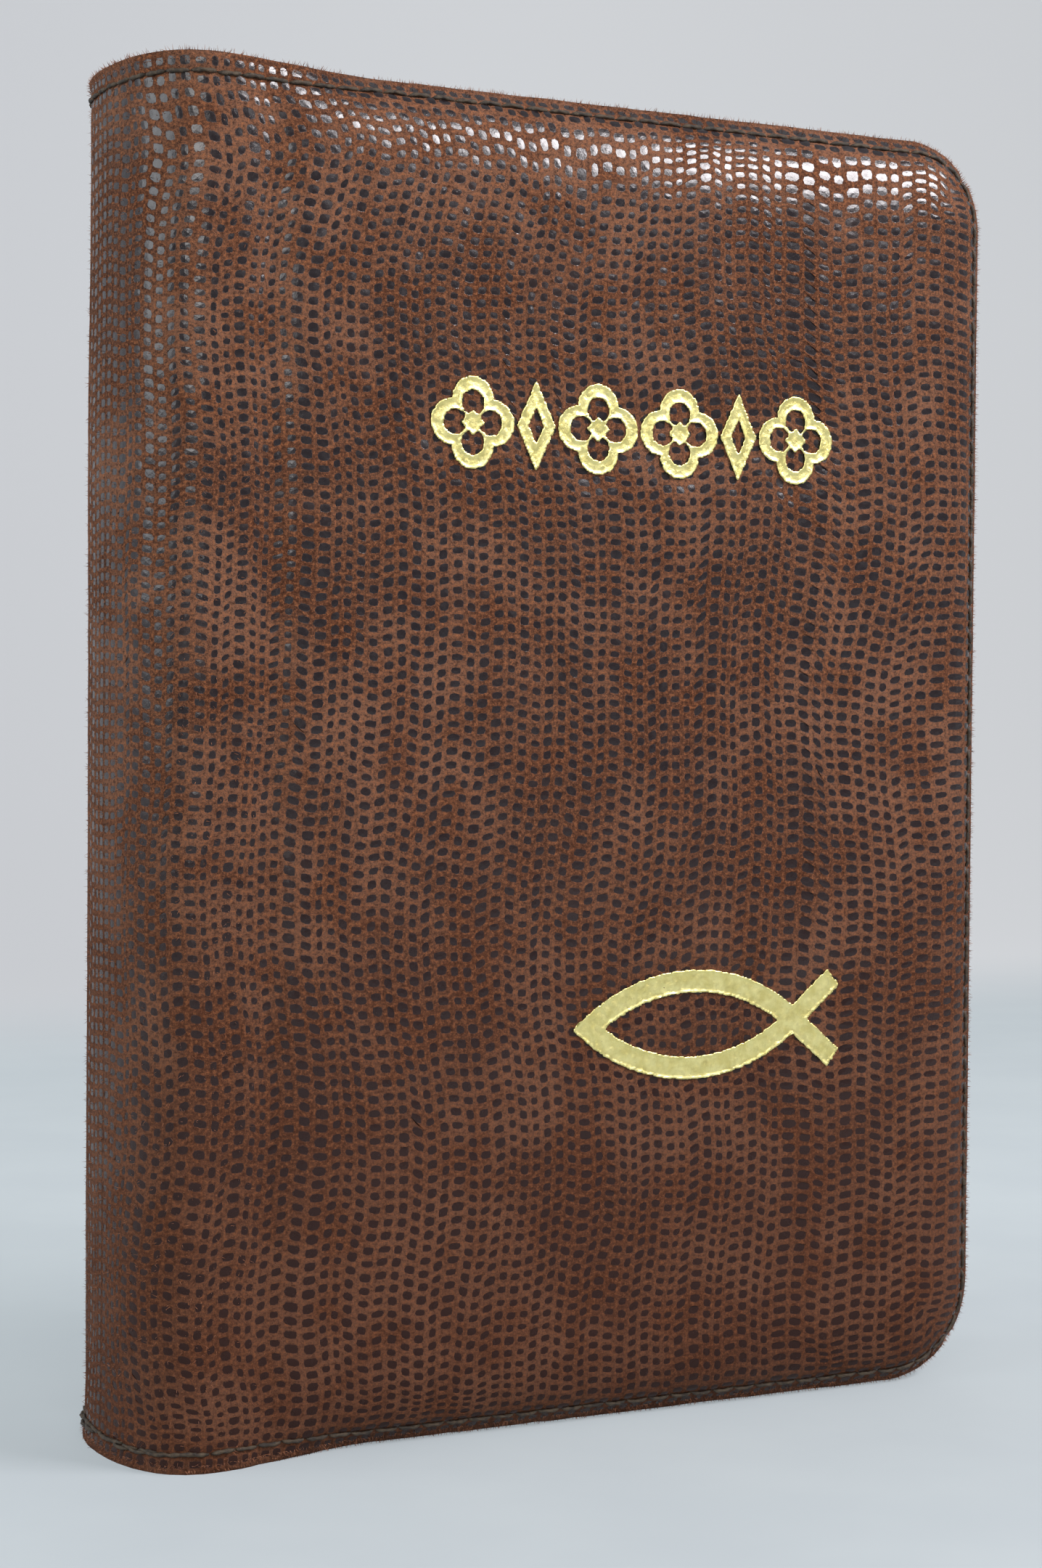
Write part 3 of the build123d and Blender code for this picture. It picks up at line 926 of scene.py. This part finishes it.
def page_outline(left, inset):
    """Columns of a page: x, its low end and its high end, closer together at fold and corners."""
    right = page_right - inset
    near_fold = np.linspace(left, left + 14, 15)
    middle = np.linspace(left + 18, right - page_corner, 8)
    turn = np.linspace(math.pi / 2, 0.06, 9)
    rounded = right - page_corner + page_corner * np.cos(turn)
    x = np.concatenate([near_fold, middle[:-1], rounded])
    over = np.clip(x - (right - page_corner), 0, page_corner)
    cut = page_corner - np.sqrt(page_corner ** 2 - over ** 2)
    return x, block_low[2] + inset + cut, block_high[2] - inset - cut


def leaf_stack(name, y_outer, y_inner, thinning, materials, seed, side=-1):
    """Leaves lying on one another, each trimmed a little unevenly, thinning towards the fold."""
    rng = np.random.default_rng(seed)
    count = max(1, round((y_inner - y_outer) / layer))
    rings = []
    drift = 0.0
    for k in range(count):
        drift = 0.7 * drift + rng.uniform(-0.05, 0.05)
        for share, trim in ((k + 0.12, drift + 0.12), (k + 0.88, drift + 0.17)):
            x, low, high = page_outline(page_left, trim)
            thin = thinning * np.clip(1 - (x - page_left) / fold_run, 0, 1)
            y = y_outer + (y_inner - y_outer - thin) * share / count
            rings.append(np.concatenate([xyz(x, y, low), xyz(x, y, high)[::-1]]))
    size = len(rings[0])
    corner = np.arange(size)
    edge_faces = []
    for start in range(0, (len(rings) - 1) * size, size):
        here, after = start + corner, start + np.roll(corner, -1)
        edge_faces += link_faces(here, here + size, after + size, after)
    k = np.arange(size // 2 - 1)
    last = (len(rings) - 1) * size
    outline = [k, k + 1, size - 2 - k, size - 1 - k]
    page_faces = link_faces(*outline) + link_faces(*[last + i for i in outline[::-1]])
    shape = np.concatenate(rings), edge_faces + page_faces
    piece = sided_piece(name, shape, side, materials, False)
    set_slots(piece, np.repeat([0, 1], [len(edge_faces), len(page_faces)]))
    return piece


def bound_back(name, material):
    """The rounded back of the block, where the folded sections are sewn and glued."""
    sections, per_section, rows = 16, 10, 60
    count = sections * per_section + 1
    y = np.linspace(block_low[1] + 0.02, block_high[1] - 0.02, count)[:, None]
    z = np.linspace(block_low[2] + 0.1, block_high[2] - 0.1, rows)[None, :]
    round_off = 3.0 * np.clip((np.abs(y) / block_high[1] - 0.55) / 0.45, 0, 1) ** 2
    fold = np.abs(np.sin(np.linspace(0, sections * math.pi, count)))[:, None]
    back_x = block_low[0] + 0.5 + round_off - 0.45 * fold ** 0.5
    outer = xyz(back_x + 0.12 * ripple(y * 3, z, 17, 81), y, z)
    inner = outer.copy()
    inner[..., 0] = page_left - 0.02
    return sided_piece(name, slab(inner, outer), -1, material)


def loose_flyleaf(name, side, material):
    low, high = box_mm("flyleaf_front")
    x, bottom, top = page_outline(low[0] - 0.5, 0.4)
    share = np.linspace(0, 1, 30)[None, :]
    z = bottom[:, None] * (1 - share) + top[:, None] * share
    y = (low[1] + high[1]) / 2 + 0.05 * ripple(x[:, None] + 0 * z, z, 45, 83)
    outer = xyz(x[:, None], y - flyleaf / 2, z)
    return sided_piece(name, slab(outer, outer + np.array([0, flyleaf, 0])), side, material)


def headband(name, node, materials):
    """Silk wound round a cord, in two colours by turns."""
    low, high = box_mm(node)
    middle_x = (low[0] + high[0]) / 2
    cord_radius, wind_radius, silk_radius, pitch = 0.62, 0.66, 0.24, 0.46
    turns = np.linspace(0, 2 * math.pi, 13)
    cord = xyz(middle_x, np.linspace(low[1], high[1], 40), middle_z(node))
    parts = [tube(cord, cord_radius, 10)]
    slots = [0] * len(parts[0][1])
    for k in range(int((high[1] - low[1]) / pitch)):
        y = low[1] + (k + 0.5) * pitch + 0.1 * np.sin(turns)
        wound_x = middle_x + wind_radius * np.cos(turns)
        wound_z = middle_z(node) + wind_radius * np.sin(turns)
        parts.append(tube(xyz(wound_x, y, wound_z), silk_radius, 6, up=(0, 1, 0)))
        slots += [k // 2 % 2] * len(parts[-1][1])
    piece = new_piece(name, *join(parts), materials)
    set_slots(piece, slots)
    return piece


def ribbon(name, material):
    """A satin ribbon from the binding, that turns down between the leaves to a slant-cut end."""
    low, high = box_mm("ribbon_marker")
    share = np.linspace(0, 1, 90)[:, None]
    across = np.linspace(-ribbon_width / 2, ribbon_width / 2, 9)[None, :]
    start_x, fall_x = page_left + ribbon_width / 2, high[0] - ribbon_width / 2
    x = start_x + (fall_x - start_x) * smooth(share * 4.5) + across
    z = (high[2] - 2) * (1 - share) + (low[2] + 1) * share
    z = z - across * 0.25 * smooth((share - 0.94) * 20)
    y = (low[1] + high[1]) / 2 + 0.06 * ripple(x, z, 12, 91)
    outer = xyz(x, y - ribbon_thickness / 2, z)[::-1].transpose(1, 0, 2)
    inner = outer + np.array([0, ribbon_thickness, 0])
    return sided_piece(name, slab(outer, inner), -1, material)


def gauze(name, material):
    """Open-weave mull glued to the back of the block."""
    low, high = box_mm("spine_lining")
    x = (low[0] + high[0]) / 2
    yarn_radius, wave = 0.11, 0.07
    y, z = np.linspace(low[1], high[1], 40), np.linspace(low[2], high[2], 260)

    def weave(run, k):
        return wave * np.cos(run / gauze_pitch * math.pi + k * math.pi)

    parts = []
    for k in range(int((high[2] - low[2]) / gauze_pitch)):
        yarn = xyz(x + weave(y, k), y, low[2] + (k + 0.5) * gauze_pitch)
        parts.append(tube(yarn, yarn_radius, 5))
    for k in range(int((high[1] - low[1]) / gauze_pitch)):
        yarn = xyz(x - weave(z, k), low[1] + (k + 0.5) * gauze_pitch, z)
        parts.append(tube(yarn, yarn_radius, 5, up=(0, 1, 0)))
    return new_piece(name, *join(parts), material)


# ---- Materials ----------------------------------------------------------------------------

class Look:
    """A material, with short ways to add nodes and join them."""

    def __init__(self, name, **settings):
        self.material = bpy.data.materials.new(name)
        self.material.use_nodes = True
        self.tree = self.material.node_tree
        self.surface = self.tree.nodes["Principled BSDF"]
        self.set(**settings)

    def set(self, **settings):
        for name, value in settings.items():
            self.plug(value, self.surface.inputs[name.replace("_", " ")])
        return self.material

    def plug(self, value, socket):
        if isinstance(value, bpy.types.NodeSocket):
            self.tree.links.new(value, socket)
        else:
            socket.default_value = value

    def add(self, kind, inputs, **properties):
        node = self.tree.nodes.new("ShaderNode" + kind)
        for name, value in properties.items():
            setattr(node, name, value)
        for name, value in inputs.items():
            self.plug(value, node.inputs[name])
        return node

    def place(self):
        """The object's own coordinates, in millimetres."""
        place = self.add("TexCoord", {}).outputs["Object"]
        inputs = {0: place, "Scale": 1 / MM}
        return self.add("VectorMath", inputs, operation="SCALE").outputs["Vector"]

    def stretched(self, place, x, y, z):
        inputs = {0: place, 1: (x, y, z)}
        return self.add("VectorMath", inputs, operation="MULTIPLY").outputs["Vector"]

    def attribute(self, name, output):
        return self.add("Attribute", {}, attribute_name=name).outputs[output]

    def noise(self, place, scale, detail=3.0, rough=0.55, warp=0.0):
        """Noise with about "scale" lumps to the millimetre, from 0 to 1."""
        inputs = {"Vector": place, "Scale": scale, "Detail": detail, "Roughness": rough}
        return self.add("TexNoise", {**inputs, "Distortion": warp}).outputs["Fac"]

    def ease(self, value, low, high, out_low=0.0, out_high=1.0):
        """Value eased from out_low to out_high as it goes from low to high."""
        inputs = {"Value": value, "From Min": low, "From Max": high}
        inputs.update({"To Min": out_low, "To Max": out_high})
        return self.add("MapRange", inputs, interpolation_type="SMOOTHSTEP").outputs["Result"]

    def math(self, operation, a, b=0.0):
        return self.add("Math", {0: a, 1: b}, operation=operation).outputs["Value"]

    def mix(self, factor, a, b):
        """Colour a where the factor is 0, and b where it is 1."""
        inputs = {"Factor": factor, 6: a, 7: b}
        return self.add("Mix", inputs, data_type="RGBA").outputs[2]

    def tint(self, colour, value, low, high, share, other):
        """Colour turned towards another, by up to this share, as value goes from low to high."""
        return self.mix(self.ease(value, low, high, 0.0, share), colour, other)

    def between(self, factor, a, b):
        """Number a where the factor is 0, and b where it is 1."""
        return self.add("Mix", {"Factor": factor, 2: a, 3: b}, data_type="FLOAT").outputs[0]

    def bump(self, height, depth, under=None):
        """A normal for bumps of this depth in millimetres."""
        inputs = {"Height": height, "Strength": 1.0, "Distance": depth * MM}
        if under:
            inputs["Normal"] = under
        return self.add("Bump", inputs).outputs["Normal"]


def rgb(red, green, blue):
    """A shader colour from the 0 to 255 values of a colour on screen."""
    return (*[(value / 255) ** 2.2 for value in (red, green, blue)], 1.0)


def grain_look(name, colours, roughness, scale, detail, depth, rough=0.55, stretch=(1, 1, 1)):
    """A plain material, whose noise mixes two colours and raises its surface."""
    look = Look(name, Roughness=roughness)
    grain = look.noise(look.stretched(look.place(), *stretch), scale, detail, rough)
    colour = look.mix(look.ease(grain, 0.3, 0.7), *colours)
    look.set(Base_Color=colour, Normal=look.bump(grain, depth))
    return look


def hide_look():
    """Reddish-brown suede nap with an embossed pattern of glossy, near-black scales, and painted shade
    on the nap towards the bottom.
    """
    look = Look("embossed_suede")
    sheet = look.attribute("sheet", "Vector")
    fuzz = look.noise(sheet, 3.8, 4, rough=0.7)
    cloud = look.noise(sheet, 0.035, 3, warp=0.5)
    patch = look.noise(sheet, 0.11, 4)
    speck = look.noise(sheet, 1.9, 6, rough=0.85)
    nap = look.mix(look.ease(cloud, 0.36, 0.62), rgb(80, 54, 42), rgb(112, 80, 64))
    nap = look.tint(nap, patch, 0.42, 0.66, 0.75, rgb(82, 50, 34))
    nap = look.tint(nap, speck, 0.5, 0.6, 0.75, rgb(145, 92, 61))
    nap = look.tint(nap, speck, 0.5, 0.4, 0.8, rgb(44, 27, 19))
    height = look.add("SeparateXYZ", {0: sheet}).outputs["Y"]
    # Painted shade: the nap is darkened towards the bottom of the book. The scales there are turned
    # browner and given less shine.
    low = look.ease(height, 130.0, 0.0)
    nap = look.mix(look.math("MULTIPLY", low, 0.5), nap, rgb(72, 43, 30))
    wear = look.noise(sheet, 0.09, 4)
    dark = look.mix(look.noise(sheet, 2.0, 3), rgb(24, 20, 23), rgb(38, 31, 33))
    dark = look.tint(dark, wear, 0.5, 0.75, 0.3, rgb(58, 40, 34))
    dark = look.mix(look.math("MULTIPLY", low, 0.7), dark, rgb(50, 32, 26))
    ragged = look.math("ADD", look.attribute("scale", "Fac"), look.math("MULTIPLY", fuzz, 0.36))
    edge = look.ease(ragged, 0.6, 0.7)
    nap_bump = look.bump(look.noise(sheet, 5.0, 4, rough=0.7), 0.16)
    scale_bump = look.bump(look.noise(sheet, 1.6, 4), 0.03)
    bumps = {"Factor": edge, 4: nap_bump, 5: scale_bump}
    normal = look.add("Mix", bumps, data_type="VECTOR").outputs[1]
    gloss = look.ease(look.noise(sheet, 0.7, 3), 0.3, 0.7, 0.17, 0.3)
    polish = look.math("MULTIPLY_ADD", low, -0.42)
    polish.node.inputs[2].default_value = 0.55
    return look.set(
        Base_Color=look.mix(edge, nap, dark),
        Roughness=look.between(edge, 0.95, gloss),
        Normal=normal,
        Specular_IOR_Level=look.between(edge, 0.15, polish),
    )


def flesh_look():
    """The raw cut edge and flesh side of the leather."""
    look = Look("raw_leather")
    place = look.place()
    tone = look.ease(look.noise(place, 0.8, 4), 0.3, 0.7)
    colour = look.mix(tone, rgb(92, 58, 42), rgb(138, 98, 74))
    fibre = look.noise(look.stretched(place, 1, 3, 1), 4.0, 4, rough=0.7)
    return look.set(Base_Color=colour, Roughness=0.95, Normal=look.bump(fibre, 0.2), Sheen_Weight=0.2)


def fibre_look():
    look = Look("suede_fibre")
    tone = look.ease(look.noise(look.place(), 0.9, 3), 0.35, 0.65)
    colour = look.mix(tone, rgb(92, 54, 36), rgb(142, 92, 64))
    return look.set(Base_Color=colour, Roughness=0.95, Sheen_Weight=0.1)


def thread_look():
    look = Look("waxed_thread")
    place = look.place()
    tone = look.ease(look.noise(place, 1.2, 3), 0.35, 0.65)
    colour = look.mix(tone, rgb(36, 29, 21), rgb(68, 56, 41))
    fibre = look.noise(place, 9.0, 3)
    return look.set(Base_Color=colour, Roughness=0.7, Normal=look.bump(fibre, 0.08))


def gold_look():
    """Pale yellow hot foil, wrinkled by the grain under it and thin in places."""
    look = Look("gold_foil")
    sheet = look.attribute("sheet", "Vector")
    tone = look.ease(look.noise(sheet, 0.5, 4), 0.3, 0.7)
    colour = look.mix(tone, rgb(234, 225, 154), rgb(214, 202, 126))
    worn = look.ease(look.noise(sheet, 2.4, 5, rough=0.7), 0.66, 0.74, 0.0, 0.8)
    colour = look.mix(worn, colour, rgb(96, 74, 44))
    wrinkle = look.bump(look.noise(sheet, 0.9, 4), 0.09)
    grain = look.bump(look.noise(sheet, 3.5, 3), 0.03, wrinkle)
    rough = look.ease(look.noise(sheet, 1.3, 3), 0.3, 0.7, 0.3, 0.46)
    return look.set(Base_Color=colour, Metallic=0.85, Roughness=rough, Normal=grain)


def foam_look():
    colours = rgb(92, 90, 88), rgb(140, 138, 134)
    return grain_look("grey_foam", colours, 0.95, 2.4, 4, 0.2, rough=0.7).material


def card_look():
    colours = rgb(120, 112, 100), rgb(164, 154, 138)
    look = grain_look("grey_card", colours, 0.9, 1.6, 5, 0.05, rough=0.7, stretch=(1, 1, 0.4))
    return look.material


def endpaper_look():
    """Dark brown laid paper with fine chain lines and flecks."""
    look = Look("endpaper")
    place = look.place()
    fibre = look.noise(look.stretched(place, 0.5, 1, 1.6), 1.1, 5, rough=0.65)
    laid = look.noise(look.stretched(place, 0.05, 1, 2.2), 1.0, 2)
    colour = look.mix(look.ease(fibre, 0.3, 0.72), rgb(92, 66, 50), rgb(122, 92, 72))
    colour = look.tint(colour, laid, 0.4, 0.65, 0.4, rgb(78, 54, 40))
    bumps = look.bump(laid, 0.03, look.bump(fibre, 0.03))
    return look.set(Base_Color=colour, Roughness=0.8, Normal=bumps)


def paper_look(name, edge):
    """Thin cream paper. At a cut edge its fibres make fine lines along the leaves."""
    look = Look(name)
    place = look.place()
    stretch = (0.15, 8, 0.15) if edge else (1, 1, 1)
    grain = look.noise(look.stretched(place, *stretch), 0.9, 4)
    stain = look.noise(place, 0.05, 3)
    light, dark = rgb(240, 233, 214), rgb(214, 202, 174)
    colour = look.mix(look.ease(grain, 0.35, 0.7, 0.0, 0.7 if edge else 0.25), light, dark)
    colour = look.tint(colour, stain, 0.45, 0.75, 0.3, rgb(226, 212, 182))
    return look.set(Base_Color=colour, Roughness=0.85, Normal=look.bump(grain, 0.03))


def tape_look():
    """Dark brown herringbone zip tape."""
    look = Look("zip_tape")
    sheet = look.attribute("sheet", "Vector")
    parts = look.add("SeparateXYZ", {0: sheet}).outputs
    fold = look.math("PINGPONG", parts["Y"], 1.4)
    slant = look.math("ADD", parts["X"], fold)
    rib = look.math("SINE", look.math("MULTIPLY", slant, 2 * math.pi / 0.62))
    yarn = look.math("SINE", look.math("MULTIPLY", parts["Y"], 2 * math.pi / 0.34))
    weave = look.math("ADD", rib, look.math("MULTIPLY", yarn, 0.4))
    fuzz = look.noise(look.place(), 3.0, 3)
    colour = look.mix(look.ease(weave, -1.0, 1.0), rgb(38, 28, 24), rgb(78, 58, 48))
    colour = look.tint(colour, fuzz, 0.45, 0.7, 0.4, rgb(92, 72, 60))
    return look.set(Base_Color=colour, Roughness=0.85, Normal=look.bump(weave, 0.12), Sheen_Weight=0.2)


def coil_look():
    look = Look("nylon_coil")
    place = look.place()
    tone = look.noise(place, 0.6, 3)
    colour = look.mix(look.ease(tone, 0.35, 0.65), rgb(46, 34, 28), rgb(66, 50, 42))
    scuff = look.noise(place, 4.0, 3)
    rough = look.ease(scuff, 0.3, 0.7, 0.3, 0.5)
    return look.set(Base_Color=colour, Roughness=rough, Normal=look.bump(scuff, 0.02))


def brass_look():
    """Antique brass, brighter and smoother where fingers rub it."""
    look = Look("antique_brass")
    place = look.place()
    age = look.noise(place, 0.35, 5)
    scratch = look.noise(look.stretched(place, 0.3, 4, 4), 2.0, 3)
    colour = look.mix(look.ease(age, 0.4, 0.65), rgb(168, 138, 84), rgb(112, 88, 54))
    rough = look.ease(age, 0.4, 0.65, 0.28, 0.5)
    return look.set(Base_Color=colour, Metallic=1.0, Roughness=rough, Normal=look.bump(scratch, 0.015))


def silk_look(name, light, dark):
    look = grain_look(name, (light, dark), 0.45, 4.0, 3, 0.04, stretch=(1, 1, 0.3))
    return look.set(Sheen_Weight=0.3)


def gauze_look():
    colours = rgb(224, 214, 190), rgb(178, 166, 140)
    return grain_look("mull", colours, 0.9, 5.0, 3, 0.05).material


# ---- Case ---------------------------------------------------------------------------------

hide = hide_look()
flesh = flesh_look()
loose_fibre = fibre_look()
thread = thread_look()
gold = gold_look()

joint_bend = ((spine_x + 8) * MM, 0, 0), ((hinge_x + 4) * MM, 0, 0)
fold_bend = (page_left * MM, 0, 0), ((page_left + 12) * MM, 0, 0)
root = "spine_and_block"


def fit(piece, body, slot, *nodes):
    """Puts a piece on a body in place of CAD nodes."""
    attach(piece, body)
    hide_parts(*nodes)


def bend(piece, body, ends, slot, *nodes):
    """Keeps a piece where it stands, its placement baked into its mesh, in place of CAD nodes."""
    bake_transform(piece)
    if nodes:
        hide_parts(*nodes)


for side, cover in ((-1, "front"), (1, "back")):
    body = cover + "_cover"
    outside = leather_half("hide_" + cover, side, [hide, flesh])
    fuzz = fibres("suede_fibres_" + cover, side, loose_fibre)
    seam = stitching_half("hem_stitches_" + cover, side, thread)
    bend(outside, body, joint_bend, "hide", "leather_" + cover, "leather_spine")
    bend(fuzz, body, joint_bend, "hide")
    bend(seam, body, joint_bend, "thread", "stitching_" + cover, "stitching_spine")

title = foil_plate("title_gilding", title_field, title_low, title_high, gold)
fit(title, "front_cover", "gold_foil", "title_foil")
fish = foil_plate("fish_gilding", fish_field, fish_low, fish_high, gold)
fit(fish, "front_cover", "gold_foil", "fish_foil")


# ---- Inside the case ----------------------------------------------------------------------

foam, card = foam_look(), card_look()
lining_paper = endpaper_look()
paper = [paper_look("page_edge", True), paper_look("page_face", False)]
weave, coil, brass = tape_look(), coil_look(), brass_look()
silks = [
    silk_look("red_silk", rgb(150, 34, 36), rgb(104, 20, 24)),
    silk_look("cream_silk", rgb(232, 222, 196), rgb(204, 190, 158)),
]
mull = gauze_look()
edge_softness = 0.12            # of the metal and card parts that come from the CAD

for side, cover in ((-1, "front"), (1, "back")):
    body = cover + "_cover"
    fit(pillow("pillow_" + cover, side, foam), body, "foam", "padding_" + cover, "board_" + cover)
    fit(endpaper("endpaper_" + cover, side, lining_paper), body, "endpaper", "lining_" + cover)
    fit(cover_tape("woven_tape_" + cover, side, weave), body, "tape", "zip_tape_" + cover)
    fit(cover_coil("wound_coil_" + cover, side, coil), body, "coil", "zip_coil_" + cover)

fit(spine_coils("spine_coils", coil), root, "coil", "zip_end_coils")
fit(spine_tape("spine_tape_head", head_zip_z, weave), root, "tape", "zip_end_head")
fit(spine_tape("spine_tape_tail", tail_zip_z, weave), root, "tape", "zip_end_tail")
core = leaf_stack("page_core", core_front_y, core_back_y, 0, paper, 101)
fit(core, root, "paper", "text_block")
fit(bound_back("sewn_back", paper[0]), root, "paper", "text_block")
for end in ("head", "tail"):
    band = headband("silk_band_" + end, "headband_" + end, silks)
    fit(band, root, "band_thread", "headband_" + end)
fit(ribbon("satin_ribbon", silks[0]), root, "ribbon", "ribbon_marker")
fit(gauze("mull_strip", mull), root, "mull", "spine_lining")

for name, side, low, high, seed in (
    ("first", -1, leaf_low, leaf_high, 102),
    ("second", -1, second_low, second_high, 103),
    ("last", 1, leaf_low, leaf_high, 104),
):
    body = name + "_leaves"
    stack = leaf_stack(body + "_stack", low[1], high[1], fold_thinning, paper, seed, side)
    bend(stack, body, fold_bend, "paper", "leaves_" + name)

for side, cover in ((-1, "front"), (1, "back")):
    leaf = loose_flyleaf("loose_flyleaf_" + cover, side, lining_paper)
    bend(leaf, cover + "_flyleaf", fold_bend, "endpaper", "flyleaf_" + cover)

for node in ("zip_slider", "zip_pull", "zip_stop_head", "zip_stop_tail", "spine_stiffener"):
    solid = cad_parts[node]
    solid.data.materials.clear()
    solid.data.materials.append(card if node == "spine_stiffener" else brass)
    bevel = solid.modifiers.new("soft_edges", "BEVEL")
    bevel.width = edge_softness * MM
    bevel.segments = 2
    bevel.limit_method = "ANGLE"


# ---- Floor, light and camera --------------------------------------------------------------

def floor_look():
    """Pale paper that glows with soft painted light, stronger towards the wall and behind the book."""
    look = Look("studio_paper", Roughness=0.8)
    place = look.place()
    parts = look.add("SeparateXYZ", {0: place}).outputs
    far = look.ease(parts["Y"], 380.0, 620.0)
    behind = look.ease(parts["Y"], 10.0, 120.0)
    mottle = look.noise(place, 0.02, 4)
    colour = look.mix(look.ease(mottle, 0.3, 0.7), rgb(119, 124, 127), rgb(125, 130, 132))
    # Painted light: the paper glows brighter behind the book, where the book's shadow falls, and on
    # the wall it glows dimmer to the left than to the right.
    near_glow = look.mix(behind, rgb(152, 160, 165), rgb(164, 173, 178))
    far_glow = look.mix(look.ease(parts["X"], 100.0, 500.0), rgb(182, 184, 188), rgb(195, 197, 200))
    glow = look.mix(far, near_glow, far_glow)
    colour = look.mix(far, colour, rgb(120, 122, 124))
    return look.set(Base_Color=colour, Emission_Color=glow, Emission_Strength=0.84)


def backdrop():
    """A floor that runs back and curves up into a wall."""
    floor_y, wall_y, wall_top, radius, half_width = -4000.0, 900.0, 1500.0, 300.0, 2500.0
    profile = [(floor_y, 0.0)]
    for turn in np.linspace(0, math.pi / 2, 17):
        profile.append((wall_y - radius + radius * math.sin(turn), radius - radius * math.cos(turn)))
    profile.append((wall_y, wall_top))
    points, faces = [], []
    for y, z in profile:
        points += [(-half_width, y, z), (half_width, y, z)]
    for k in range(len(profile) - 1):
        faces.append([2 * k, 2 * k + 1, 2 * k + 3, 2 * k + 2])
    return new_piece("backdrop", points, faces, floor_look())


def softbox(name, place, target, size, power, colour):
    light = bpy.data.lights.new(name, "AREA")
    light.shape = "RECTANGLE"
    light.size, light.size_y = size[0] * MM, size[1] * MM
    light.energy = power
    light.color = colour
    lamp = add_object(name, light)
    lamp.location = Vector(place) * MM
    lamp.rotation_euler = (Vector(target) - Vector(place)).to_track_quat("-Z", "Y").to_euler()


def studio_world():
    """Grey-blue light, bright from above and behind the book and dim from in front of it."""
    world = bpy.data.worlds.new("studio")
    world.use_nodes = True
    tree = world.node_tree
    direction = tree.nodes.new("ShaderNodeTexCoord").outputs["Generated"]
    parts = tree.nodes.new("ShaderNodeSeparateXYZ")
    tree.links.new(direction, parts.inputs[0])
    level = tree.nodes.new("ShaderNodeMapRange")
    level.interpolation_type = "SMOOTHSTEP"
    tree.links.new(parts.outputs["Y"], level.inputs["Value"])
    for name, value in (("From Min", -0.5), ("From Max", 0.6), ("To Min", 0.32), ("To Max", 0.85)):
        level.inputs[name].default_value = value
    background = tree.nodes["Background"]
    background.inputs["Color"].default_value = (0.70, 0.73, 0.75, 1)
    tree.links.new(level.outputs["Result"], background.inputs["Strength"])
    bpy.context.scene.world = world


def camera():
    """Stands to the left of the book and looks along it, with the lens a little above its middle."""
    data = bpy.data.cameras.new("camera")
    data.sensor_width = 36
    data.lens = 66.8
    data.clip_start = 0.01
    view = add_object("camera", data)
    place, aim, below_level, tilt = (-197.3, -373.1, 101.5), -27.42, 1.57, 0.43
    view.matrix_world = Matrix.Translation(Vector(place) * MM)
    for angle, axis in ((aim, "Z"), (90 - below_level, "X"), (tilt, "Z")):
        view.matrix_world = view.matrix_world @ Matrix.Rotation(math.radians(angle), 4, axis)
    bpy.context.scene.camera = view


backdrop()
book_middle = (0, 0, case_height / 2)
key_target = (30, 0, 170)
softbox("key", (400, -390, 520), key_target, (330, 230), power=5.8, colour=(1.0, 0.95, 0.97))
softbox("fill", (-420, -900, 520), book_middle, (700, 400), power=6, colour=(1.0, 0.98, 0.96))
softbox("side", (-900, 60, 500), book_middle, (900, 700), power=6.2, colour=(0.95, 0.98, 1.0))
studio_world()
camera()
bpy.context.scene.view_settings.view_transform = "Standard"

low, high = cad_bounds
